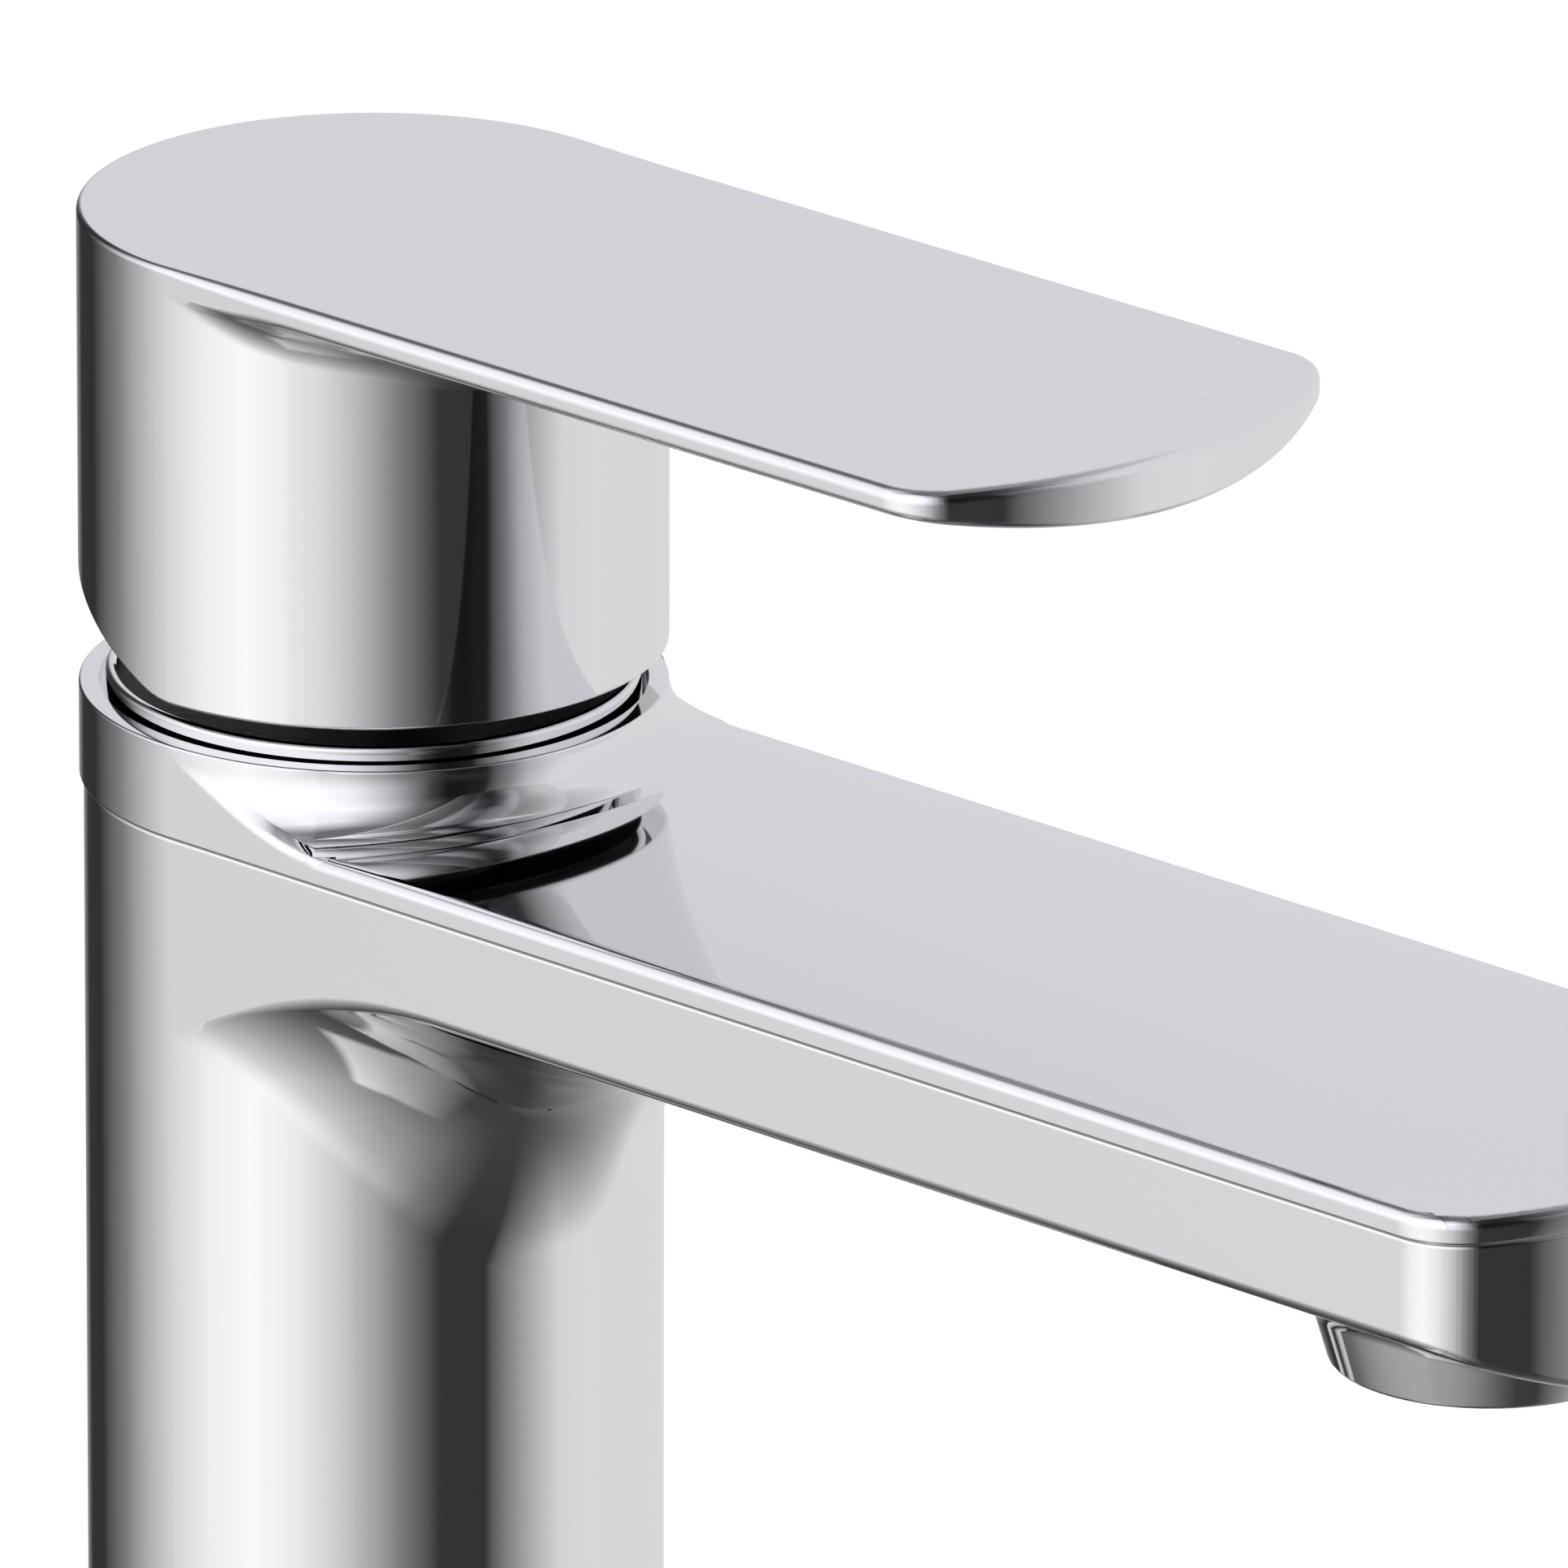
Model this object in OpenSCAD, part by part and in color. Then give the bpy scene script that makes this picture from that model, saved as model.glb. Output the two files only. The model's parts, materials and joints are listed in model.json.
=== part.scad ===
// Single-lever basin mixer: round column, flat spout and flat lever over a 35 mm ceramic cartridge.
// Millimetres. Origin: centre of the foot on the deck. +Z up, the spout points along -Y.

/* [Column] */
// Radius of the column
column_r = 21.67; // [21.4:0.01:22.6]
// Height of the spout's top face above the deck
spout_top_h = 102.65; // [98:0.05:112]
// Gap that the foot seal keeps between the column and the deck
foot_gap = 0.8; // [0.4:0.1:1.2]
// Radius of the fillet under the spout
armpit_r = 16; // [15:0.5:17]

/* [Spout] */
// Reach from the column's axis to the outlet's axis
reach = 112.4; // [105:0.1:120]
// How far the spout's nose stands past the outlet's axis
nose_past = 21.9; // [20:0.1:25]
// Height of the spout's straight side, top cover included
spout_side_h = 9.95; // [9.8:0.05:11]
// How far the round underside drops below the sides
spout_belly = 5.6; // [5.4:0.1:6.4]
// Radius of the nose's arc
spout_nose_r = 38.5; // [34:0.5:45]
// Radius of the nose's corners
spout_corner_r = 6.2; // [5:0.1:8]

/* [Top cover] */
// Thickness of the cover's flat plate
cover_t = 1.87; // [1.8:0.01:2.3]
// How far the cover stands out past the column and the spout's sides
cover_lip = 0.33; // [0.2:0.01:0.4]
// Height of the collar above the spout's top, and radius of its fillet
collar_h = 5.25; // [5.25:0.05:6]

/* [Lever] */
// Length from the column's axis to the lever's tip
lever_len = 82.5; // [75:0.5:95]
// Height of the drum under the lever plate, plate included
drum_h = 33.8; // [33.4:0.1:36]
// Height of the lever plate's straight side
plate_side = 1.9; // [1.7:0.1:2.5]
// How far the plate's round underside drops below its sides
plate_belly = 2.5; // [2:0.1:3]
// Radius of the lever tip's arc
lever_nose_r = 39; // [34:0.5:45]
// Radius of the lever tip's corners
lever_corner_r = 5.3; // [4.5:0.1:7]
// How far the lever lifts, in degrees
lift_deg = 22; // [20:0.5:22]
// How far the lever turns to each side, in degrees
turn_deg = 45; // [40:1:48]

/* [Cartridge] */
// Wall of the column round the cartridge; a slimmer column takes a smaller cartridge
column_wall = 4.17; // [4.1:0.01:4.3]
// Radial clearance of the cartridge in its pocket
cartridge_clear = 0.1; // [0.05:0.01:0.15]
// How far the brass nut's thread stands out past the cartridge
nut_step = 1.5; // [1.4:0.05:1.6]
// Distance from the lever pivot down to the centre of the stem's ball
ball_drop = 13; // [12.6:0.1:13.4]
// Width across the stem's square
stem_w = 8; // [7.6:0.1:8.4]

/* [Water ports] */
// Radius of the M10x1 hose ports
inlet_r = 5; // [4.5:0.1:5.2]
// Depth of the hose ports
inlet_depth = 14; // [12:0.5:20]
// Radius of the M18.5x1 aerator thread in the nozzle
aerator_r = 9.25; // [9.2:0.01:9.3]
// Height of the nozzle's lower edge above the deck, measured down from the spout's top
nozzle_drop = 19.75; // [19.5:0.05:21]
// Radius of the nozzle at its lower edge
nozzle_r = 11.4; // [11.2:0.1:12]

/* [Deck clamp] */
// Radius of the M8 mounting stud
stud_r = 4; // [3:0.5:4.5]
// Length of the stud below the deck
stud_len = 62; // [55:1:75]
// Deck thickness that the clamp is shown closed on
deck_t = 20; // [10:1:28]
// Outer radius of the horseshoe washer
washer_r = 24; // [23:0.5:27]

/* [Hidden] */
$fn = 96;
eps = 0.01;
over = 1;

chrome = "#c9ccd1";
brass = "#b9984f";
steel = "#a9abad";
rubber = "#26272a";
ceramic = "#e9e6dd";
ceramic_grey = "#8b8d92";
white_plastic = "#e6e8e6";
red_plastic = "#b3382c";
grey_plastic = "#6f7479";

// Levels of the outside
cap_r = column_r + cover_lip;
seam_z = spout_top_h - cover_t;
side_z = spout_top_h - spout_side_h;
belly_z = side_z - spout_belly;
land_z = spout_top_h + collar_h;
nose_y = reach + nose_past;
nozzle_z = spout_top_h - nozzle_drop;

// Gap between collar and dome ring, and how far the ring stands proud of the collar
dome_gap = 0.5;
dome_proud = 1.2;
dome_top_t = 1;
dome_skirt_t = 1.2;
dome_thread_t = 1.3;
collar_wall = 1.5;
collar_bore_r = cap_r - collar_wall;
dome_r = collar_bore_r - dome_gap;
dome_z = land_z + dome_proud;
drum_gap = 2.1;
drum_z = dome_z + drum_gap;
lever_z = drum_z + drum_h;

// Cartridge levels, upward from its seat
seat_depth = 34.65;
seat_z = spout_top_h - seat_depth;
seat_land = 6;
chamber_low = 4;
base_h = 9;
seal_t = 1;
disc_t = 3.5;
carrier_h = 6;
seal_z = seat_z + base_h;
fixed_z = seal_z + seal_t;
moving_z = fixed_z + disc_t;
carrier_z = moving_z + disc_t;
carrier_top = carrier_z + carrier_h;
carrier_gap = 0.4;
guide_z = carrier_top + carrier_gap;
guide_h = 15.1;
guide_top = guide_z + guide_h;
flange_h = 4.1;
cap_h = 4;
housing_cap_z = guide_z + flange_h;
housing_top = housing_cap_z + cap_h;
pivot_h = 34;
pivot_z = seat_z + pivot_h;
ball_z = pivot_z - ball_drop;
neck_h = 6;
neck_top = housing_top + neck_h;
lip_t = 0.8;

// Clearances
run_clear = 0.08;
fit_gap = 0.05;
slide_gap = 0.1;
loose_gap = 0.4;

// Cartridge radii
cartridge_r = column_r - column_wall;
pocket_r = cartridge_r + cartridge_clear;
chamber_step = 1.7;
chamber_r = cartridge_r + chamber_step;
housing_wall = 2.5;
housing_bore_r = cartridge_r - housing_wall;
nut_thread_r = cartridge_r + nut_step;
guide_disc_r = housing_bore_r - slide_gap;
guide_r = cartridge_r * 0.5143;
neck_gap = 0.3;
neck_r = collar_bore_r - neck_gap;
nut_wall = 5.5;
nut_bore_r = nut_thread_r - nut_wall;
nut_collar_t = 1.5;
nut_collar_r = nut_bore_r + nut_collar_t;
moving_gap = 0.5;
blade_x = stem_w * 0.375;
slot_x = blade_x + slide_gap;
pin_r = stem_w * 0.1875;
ball_r = blade_x + 0.3 * pin_r - slide_gap;
ball_travel = ball_drop * sin(lift_deg);
ball_high = pivot_z - ball_drop * cos(lift_deg) + ball_r + slide_gap;
moving_off = ball_travel * 0.51;
moving_r = housing_bore_r - moving_off - moving_gap;
rail_in = cartridge_r * 0.6343;
flat_x = rail_in - slide_gap;

// Pegs that locate the base, the limit ring and the carrier
base_peg = [cartridge_r * 0.6286, cartridge_r * 0.4];
base_peg_r = cartridge_r * 0.1143;
base_peg_h = 3;
stop_out_r = nut_bore_r - 2 * slide_gap;
stop_rim = 1;
stop_t = 2.2;
lug_w = 4;
lug_t = 1.8;
stop_peg = [cartridge_r * 0.6571, -cartridge_r * 0.1714];
stop_peg_r = cartridge_r * 0.0457;
stop_peg_h = 1.3;
carrier_peg_x = moving_r * 0.6667;
carrier_peg_r = moving_r * 0.1167;
carrier_peg_h = 1.2;

// Ports of the ceramic discs and of the column
port_x = cartridge_r * 0.4;
port_y = -cartridge_r * 0.2286;
port_r = cartridge_r * 0.1486;
supply_r = cartridge_r * 0.1714;
outlet_y = cartridge_r * 0.0686;
inlet_seal_r = supply_r * 1.5;
inlet_seal_t = supply_r * 0.4333;
inlet_seal_h = 1.15;

// Seal sections and grooves
housing_seal_r = 0.65;
guide_seal_r = 0.68;
tube_seal_r = 0.47;
groove_half = 0.9;
groove_t = 0.7;
housing_seal_z = housing_top - 2 * groove_t;
guide_seal_z = housing_cap_z + cap_h * 0.55;
groove_back = 5;
groove_front = 3;

// Spout waterway
tube_r = 4.5;
tube_wall = 1;
tube_bore_r = tube_r - tube_wall;
tube_drop = 7.5;
tube_z = seam_z - tube_drop;
tube_start = chamber_r + loose_gap;
outlet_step = 1;
outlet_bore_r = aerator_r - outlet_step;
chamber_wall_y = reach - outlet_bore_r;
tube_end = reach - aerator_r - loose_gap;
tray_wall = 10.3;
tray_nose = 14.4;
tray_side = 4.2;
tray_start = column_r + tray_wall;
tray_end = reach - tray_nose;
tray_x = column_r - tray_side;
tray_floor = 1.6;
roof_t = 2.4;
cover_pin_x = column_r * 0.5538;
cover_pin_r = 1.5;
cover_pin_h = 3.5;

// Aerator
aerator_h = 9.2;
aerator_inset = 0.5;
aerator_top_z = nozzle_z + aerator_h;
aerator_wall = 1.3;
aerator_lip = 2.15;
mesh_lift = 1.5;
mesh_z = nozzle_z + mesh_lift;
aerator_bore_r = aerator_r - aerator_wall - fit_gap;
insert_r = aerator_bore_r - fit_gap;
insert_cup = 2.5;
key_half = 0.8;
key_reach = 0.7;
key_h = 0.6;
mesh_t = 1;
mesh_pitch = 2.5;
mesh_hole_r = 0.9;
aerator_seal_t = 1.3;
aerator_seal_r = aerator_r * 0.6486;

// Foot
foot_groove_out = column_r - 1.27;
foot_groove_in = foot_groove_out - 2.5;
foot_groove_h = 2.2;

// Round undersides: each is a cylinder along Y through the side edges and the lowest line
function belly_r(half, drop) = (half * half + drop * drop) / (2 * drop);
spout_belly_r = belly_r(column_r, spout_belly);
plate_belly_r = belly_r(cap_r, plate_belly);
plate_z = lever_z - plate_side - plate_belly;

// Lever casting
lever_wall = 2.2;
lever_fillet_r = 3.5;
hub_r = stem_w * 1.0625;
hub_lift = 4.8;
hub_z = drum_z + hub_lift;
stem_top = lever_z - drum_h * 0.4142;
screw_h = 14.8;
screw_z = drum_z + screw_h;
screw_r = 2.5;
screw_len = 4.4;
crown_t = 3;
cut_start = 1;
plug_r = 3.2;
plug_t = 1.85;
plug_sunk = 0.35;

// Deck clamp
stud_y = 9;
stud_in = 16;
pad_t = 3;
washer_t = 2.5;
nut_t = 6.5;
nut_af = stud_r * 3.25;
slot_half = washer_r * 0.5417;
bridge = 4;
stud_clear = 0.3;

module disc(r, z0, z1) {
    translate([0, 0, z0]) cylinder(r = r, h = z1 - z0);
}

module ring(ro, ri, z0, z1) {
    difference() {
        disc(ro, z0, z1);
        disc(ri, z0 - 1, z1 + 1);
    }
}

module slab(x, y0, y1, z0, z1) {
    translate([-x, y0, z0]) cube([2 * x, y1 - y0, z1 - z0]);
}

module rod_y(r, y0, y1, z) {
    translate([0, y0, z]) rotate([-90, 0, 0]) cylinder(r = r, h = y1 - y0);
}

module rod_x(r, half, z) {
    translate([-half, 0, z]) rotate([0, 90, 0]) cylinder(r = r, h = 2 * half);
}

// Half outline from the axis to the nose: straight sides, rounded corners, a flat arc
function arc_points(cx, cy, r, a0, a1, n) =
    [for (i = [0:n]) [cx + r * cos(a0 + (a1 - a0) * i / n), cy + r * sin(a0 + (a1 - a0) * i / n)]];

module nose_plan(half, length, nose_r, corner_r) {
    centre_y = -(length - nose_r);
    corner_x = half - corner_r;
    lean = asin(corner_x / (nose_r - corner_r));
    corner_y = centre_y - (nose_r - corner_r) * cos(lean);
    right = arc_points(corner_x, corner_y, corner_r, 0, lean - 90, 8);
    nose = arc_points(0, centre_y, nose_r, lean - 90, -lean - 90, 12);
    left = arc_points(-corner_x, corner_y, corner_r, -lean - 90, -180, 8);
    inner_nose = [for (i = [1:len(nose) - 2]) nose[i]];
    polygon(concat([[half, 0]], right, inner_nose, left, [[-half, 0]]));
}

// Flat bar with a round underside, from the axis to the nose
module arm(half, length, nose_r, corner_r, side, drop, z_top) {
    r = belly_r(half, drop);
    z_low = z_top - side - drop;
    intersection() {
        translate([0, 0, z_low - over]) linear_extrude(height = side + drop + over)
            nose_plan(half, length, nose_r, corner_r);
        rod_y(r, -length - over, over, z_low + r);
    }
}

// Concave ring that eases a vertical wall of radius r into a face; up = 1 stands on it, -1 hangs
module fillet_ring(r, f, z_face, up) {
    translate([0, 0, z_face]) rotate_extrude() difference() {
        translate([r - 2 * over, up > 0 ? -over : -f]) square([f + 2 * over, f + over]);
        translate([r + f, up * f]) circle(r = f);
    }
}

// Keeps what lies ahead of the axis and between the side planes
module front_only(half, z0, z1) {
    intersection() {
        children();
        slab(half, -3 * half, 0, z0, z1);
    }
}

// Fillet between the column and the spout's round underside: a tilted torus scoops it out
module armpit() {
    ball_path_r = column_r + armpit_r;
    front_z = belly_z - armpit_r - slide_gap;
    tilt = 24;
    ring_y = ball_path_r * (cos(tilt) - 1);
    ring_z = front_z + ball_path_r * sin(tilt);
    top = seam_z - 3 * over;
    difference() {
        intersection() {
            disc(ball_path_r - over, front_z - 2 * over, top);
            slab(column_r, -ball_path_r, 0, front_z - 3 * over, top);
        }
        translate([0, ring_y, ring_z]) rotate([tilt, 0, 0]) rotate_extrude() {
            translate([ball_path_r, 0]) circle(r = armpit_r);
            translate([column_r, -3 * armpit_r]) square([5 * armpit_r, 3 * armpit_r]);
            translate([ball_path_r, -over]) square([2 * armpit_r, armpit_r + over]);
        }
    }
}

module nozzle_outside() {
    h = belly_z - nozzle_z + 3 * over;
    translate([0, -reach, nozzle_z]) cylinder(r1 = nozzle_r, r2 = nozzle_r + 0.313 * h, h = h);
}

module body_outside() {
    disc(column_r, foot_gap, seam_z);
    arm(column_r, nose_y - cover_lip, spout_nose_r, spout_corner_r, seam_z - side_z, spout_belly, seam_z);
    armpit();
    nozzle_outside();
    disc(neck_r, seam_z - over, neck_top);
}

module body() {
    color(chrome) difference() {
        body_outside();
        // Cartridge pocket: seat, water chamber, sealing land, nut thread
        disc(pocket_r, seat_z, seat_z + seat_land);
        disc(chamber_r, seat_z + chamber_low, housing_top - 2 * groove_half - seal_t + fit_gap);
        disc(pocket_r, housing_top - 3 * over, housing_top + over);
        disc(nut_thread_r, housing_top, neck_top + over);
        // Seat: two pegs and the two supplies down to the hose ports
        for (s = [-1, 1]) {
            translate([s * base_peg.x, base_peg.y, seat_z - base_peg_h - slide_gap])
                cylinder(r = base_peg_r + slide_gap, h = base_peg_h + over);
            translate([s * port_x, port_y, foot_gap]) cylinder(r = supply_r, h = seat_z);
            translate([s * port_x, port_y, -over]) cylinder(r = inlet_r, h = inlet_depth + foot_gap + over);
        }
        // Tray under the cover, and the bore of the spout tube with its two seal grooves
        intersection() {
            slab(tray_x, -tray_end, -tray_start, belly_z, seam_z + over);
            rod_y(spout_belly_r - tray_floor, -tray_end, -tray_start, belly_z + spout_belly_r);
        }
        rod_y(tube_r + fit_gap, -chamber_wall_y - over, -chamber_r + over, tube_z);
        for (y = [-tray_start + groove_back, -chamber_wall_y + groove_front])
            rod_y(tube_r + 2 * tube_seal_r + fit_gap, y - groove_half, y + groove_half, tube_z);
        // Outlet chamber and aerator thread
        translate([0, -reach, 0]) {
            disc(aerator_r, nozzle_z - over, aerator_top_z + aerator_seal_t + slide_gap);
            disc(outlet_bore_r, nozzle_z, seam_z - roof_t);
        }
        // Holes for the cover's pins
        for (s = [-1, 1]) translate([s * cover_pin_x, -reach, 0])
            disc(cover_pin_r + slide_gap, seam_z - cover_pin_h - loose_gap, seam_z + over);
        // Foot: seal groove and stud thread
        ring(foot_groove_out, foot_groove_in, -over, foot_gap + foot_groove_h);
        translate([0, stud_y, 0]) disc(stud_r + fit_gap, -over, stud_in + foot_gap + over);
    }
}

module top_cover() {
    color(chrome) difference() {
        union() {
            disc(cap_r, seam_z, land_z);
            translate([0, 0, seam_z]) linear_extrude(height = cover_t)
                nose_plan(cap_r, nose_y, spout_nose_r + cover_lip, spout_corner_r + cover_lip);
            front_only(cap_r, seam_z, land_z) fillet_ring(cap_r, collar_h, spout_top_h, 1);
            for (s = [-1, 1]) translate([s * cover_pin_x, -reach, 0])
                disc(cover_pin_r, seam_z - cover_pin_h, seam_z + cover_t / 2);
        }
        disc(collar_bore_r, seam_z - over, neck_top);
        disc(nut_thread_r + 2 * slide_gap, neck_top - over, neck_top + 2 * over);
        disc(collar_bore_r, neck_top + lip_t, land_z + over);
    }
}

// Chromed ring around the cartridge head; it screws onto the nut and holds the cover's inner lip
module dome_ring() {
    color(chrome) {
        ring(dome_r, dome_r - dome_skirt_t, neck_top + lip_t, dome_z - dome_top_t + eps);
        ring(dome_r, nut_bore_r - dome_gap, dome_z - dome_top_t, dome_z);
        ring(nut_collar_r + dome_thread_t, nut_collar_r + fit_gap, neck_top, dome_z - dome_top_t + eps);
    }
}

module cartridge_nut() {
    collar_top = dome_z - dome_top_t - slide_gap;
    key_w = nut_collar_t;
    color(brass) difference() {
        union() {
            disc(nut_thread_r - fit_gap, housing_top, neck_top - dome_gap);
            disc(nut_collar_r, neck_top - over, collar_top);
        }
        disc(nut_bore_r, housing_top - over, collar_top + over);
        for (a = [0, 90]) rotate([0, 0, a])
            slab(key_w, -nut_thread_r, nut_thread_r, collar_top - key_w, collar_top + over);
    }
}

module cartridge_housing() {
    color(white_plastic) difference() {
        disc(cartridge_r, seal_z, housing_top);
        disc(housing_bore_r, seal_z - over, housing_cap_z);
        disc(guide_r + run_clear, housing_cap_z - over, housing_top + over);
        // Groove of the outer seal, groove of the guide's seal, peg holes of the limit ring
        ring(cartridge_r + over, cartridge_r - 2 * housing_seal_r,
            housing_seal_z - groove_t, housing_seal_z + groove_t);
        disc(guide_r + 2.35 * guide_seal_r, guide_seal_z - groove_t, guide_seal_z + groove_t);
        for (s = [-1, 1]) translate([s * stop_peg.x, stop_peg.y, 0])
            disc(stop_peg_r + slide_gap, housing_top - stop_peg_h - 2 * slide_gap, housing_top + over);
    }
}

module cartridge_base() {
    color(grey_plastic) difference() {
        union() {
            disc(cartridge_r, seat_z, seal_z);
            for (s = [-1, 1]) translate([s * base_peg.x, base_peg.y, 0])
                disc(base_peg_r, seat_z - base_peg_h, seat_z + over);
        }
        for (s = [-1, 1]) translate([s * port_x, port_y, 0]) {
            disc(supply_r, seat_z - over, seal_z + over);
            disc(inlet_seal_r + inlet_seal_t / 2 + fit_gap, seat_z - over, seat_z + inlet_seal_h + fit_gap);
        }
        // Mixed water comes down from the discs and leaves through the side
        translate([0, outlet_y, 0]) disc(supply_r, seat_z + base_h / 2, seal_z + over);
        slab(1.667 * supply_r, outlet_y, cartridge_r + over, seat_z + base_h / 2, seal_z - base_h / 6);
    }
}

module inlet_seals() {
    color(rubber) for (s = [-1, 1]) translate([s * port_x, port_y, 0])
        ring(inlet_seal_r + inlet_seal_t / 2, inlet_seal_r - inlet_seal_t / 2, seat_z, seat_z + inlet_seal_h);
}

module disc_seal() {
    color(rubber) difference() {
        disc(housing_bore_r - slide_gap, seal_z, fixed_z);
        port_holes(supply_r, seal_z, fixed_z);
    }
}

module port_holes(r, z0, z1) {
    for (p = [[-port_x, port_y], [port_x, port_y], [0, outlet_y]])
        translate([p.x, p.y, 0]) disc(r, z0 - over, z1 + over);
}

module fixed_disc() {
    color(ceramic) difference() {
        disc(housing_bore_r - moving_gap / 2, fixed_z, moving_z);
        port_holes(port_r, fixed_z, moving_z);
    }
}

module moving_disc() {
    color(ceramic_grey) difference() {
        translate([0, moving_off, 0]) disc(moving_r, moving_z, carrier_z);
        // Mixing chamber in the sliding face, and two blind holes for the carrier's pegs
        slab(port_x + 0.6 * port_r, -0.35 * port_r, moving_off + 1.9 * port_r,
            moving_z - over, moving_z + disc_t * 0.457);
        for (s = [-1, 1]) translate([s * carrier_peg_x, moving_off, 0])
            disc(carrier_peg_r + slide_gap, carrier_z - carrier_peg_h - 2 * slide_gap, carrier_z + over);
    }
}

module disc_carrier() {
    color(white_plastic) difference() {
        union() {
            intersection() {
                translate([0, moving_off, 0]) disc(moving_r, carrier_z, carrier_top);
                slab(flat_x, -2 * moving_r, 2 * moving_r, carrier_z, carrier_top);
            }
            for (s = [-1, 1]) translate([s * carrier_peg_x, moving_off, 0])
                disc(carrier_peg_r, carrier_z - carrier_peg_h, carrier_z + over);
        }
        disc(ball_r + loose_gap, carrier_z - over, carrier_top + over);
    }
}

module rotating_guide() {
    slot_y = guide_r - 2 * groove_t;
    color(grey_plastic) difference() {
        union() {
            disc(guide_disc_r, guide_z, housing_cap_z - slide_gap);
            disc(guide_r, guide_z, guide_top);
            intersection() {
                ring(guide_disc_r - loose_gap, guide_r / 2, carrier_z + 1.5 * carrier_gap, guide_z + over);
                for (s = [0, 180]) rotate([0, 0, s])
                    translate([rail_in, -guide_r, carrier_z]) cube([guide_r, 2 * guide_r, guide_h]);
            }
            guide_lug();
        }
        slab(slot_x, -slot_y, slot_y, carrier_z - over, guide_top + over);
        // Room under the flange for the stem's ball at the end of its swing
        slab(slot_x, -ball_travel - ball_r - slide_gap, 0, carrier_z - over, ball_high);
        rod_x(pin_r, guide_r + over, pivot_z);
    }
}

// Lug at the back of the guide; it meets the limit ring at each end of the turn
module guide_lug() {
    translate([-lug_w / 2, guide_r - over, housing_top + 2 * slide_gap])
        cube([lug_w, stop_out_r - stop_rim - guide_r + over / 2, lug_t]);
}

module limit_ring() {
    lug_half = asin(0.6 * lug_w / (guide_r + 3 * stop_rim));
    open = turn_deg + lug_half + 0.6;
    far = 2 * nut_thread_r;
    low = housing_top - over;
    high = housing_top + stop_t + over;
    color(red_plastic) {
        difference() {
            disc(stop_out_r, housing_top, housing_top + stop_t);
            disc(guide_r + loose_gap, low, high);
            intersection() {
                disc(stop_out_r - stop_rim, low, high);
                translate([0, 0, low]) linear_extrude(height = high - low)
                    polygon([[0, 0], [far * sin(open), far * cos(open)], [far * sin(open), far],
                        [-far * sin(open), far], [-far * sin(open), far * cos(open)]]);
            }
        }
        for (s = [-1, 1]) translate([s * stop_peg.x, stop_peg.y, 0])
            disc(stop_peg_r, housing_top - stop_peg_h, housing_top + slide_gap);
    }
}

module o_ring(r_mid, section, z) {
    translate([0, 0, z]) rotate_extrude() translate([r_mid, 0]) circle(r = section);
}

module cartridge_o_ring() {
    color(rubber) o_ring(cartridge_r - housing_seal_r + fit_gap, housing_seal_r, housing_seal_z);
}

module guide_o_ring() {
    color(rubber) o_ring(guide_r + run_clear + guide_seal_r + slide_gap, guide_seal_r, guide_seal_z);
}

module spout_tube() {
    color(brass) difference() {
        rod_y(tube_r, -tube_end, -tube_start, tube_z);
        rod_y(tube_bore_r, -tube_end - over, 0, tube_z);
    }
}

module tube_o_rings() {
    color(rubber) for (y = [-tray_start + groove_back, -chamber_wall_y + groove_front])
        translate([0, y, tube_z]) rotate([90, 0, 0])
            o_ring(tube_r + tube_seal_r + fit_gap / 2, tube_seal_r, 0);
}

module aerator_body() {
    face_z = nozzle_z + aerator_inset;
    key = aerator_bore_r + key_reach;
    color(white_plastic) translate([0, -reach, 0]) difference() {
        disc(aerator_r - fit_gap, face_z, aerator_top_z);
        disc(aerator_bore_r, mesh_z, aerator_top_z + over);
        disc(aerator_r - aerator_lip, nozzle_z, aerator_top_z);
        for (a = [0:45:135]) rotate([0, 0, a]) slab(key_half, -key, key, nozzle_z, face_z + key_h);
    }
}

module aerator_mesh() {
    rim = insert_r - 2 * mesh_hole_r + mesh_hole_r / 4;
    color(steel) translate([0, -reach, 0]) difference() {
        disc(insert_r, mesh_z, mesh_z + mesh_t);
        for (i = [-2:2], j = [-2:2])
            if (norm([i, j]) * mesh_pitch < rim) translate([i * mesh_pitch, j * mesh_pitch, 0])
                disc(mesh_hole_r, mesh_z - over, mesh_z + mesh_t + over);
    }
}

module aerator_insert() {
    color(white_plastic) translate([0, -reach, 0]) difference() {
        disc(insert_r, mesh_z + mesh_t, aerator_top_z - slide_gap);
        for (a = [0:30:330]) rotate([0, 0, a]) translate([0.64 * insert_r, 0, 0])
            disc(0.09 * insert_r, nozzle_z, aerator_top_z + over);
        disc(0.815 * insert_r, nozzle_z, mesh_z + mesh_t + insert_cup);
    }
}

module aerator_washer() {
    color(rubber) translate([0, -reach, 0])
        ring(aerator_r - slide_gap, aerator_seal_r, aerator_top_z, aerator_top_z + aerator_seal_t);
}

module foot_seal() {
    top = foot_gap + foot_groove_h - slide_gap;
    color(rubber) ring(foot_groove_out - slide_gap, foot_groove_in + slide_gap, 0, top);
}

module mounting_stud() {
    color(steel) translate([0, stud_y, 0]) disc(stud_r, -stud_len, stud_in + foot_gap);
}

module pivot_pin() {
    color(steel) rod_x(pin_r - fit_gap / 2, guide_r - groove_t, pivot_z);
}

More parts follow.
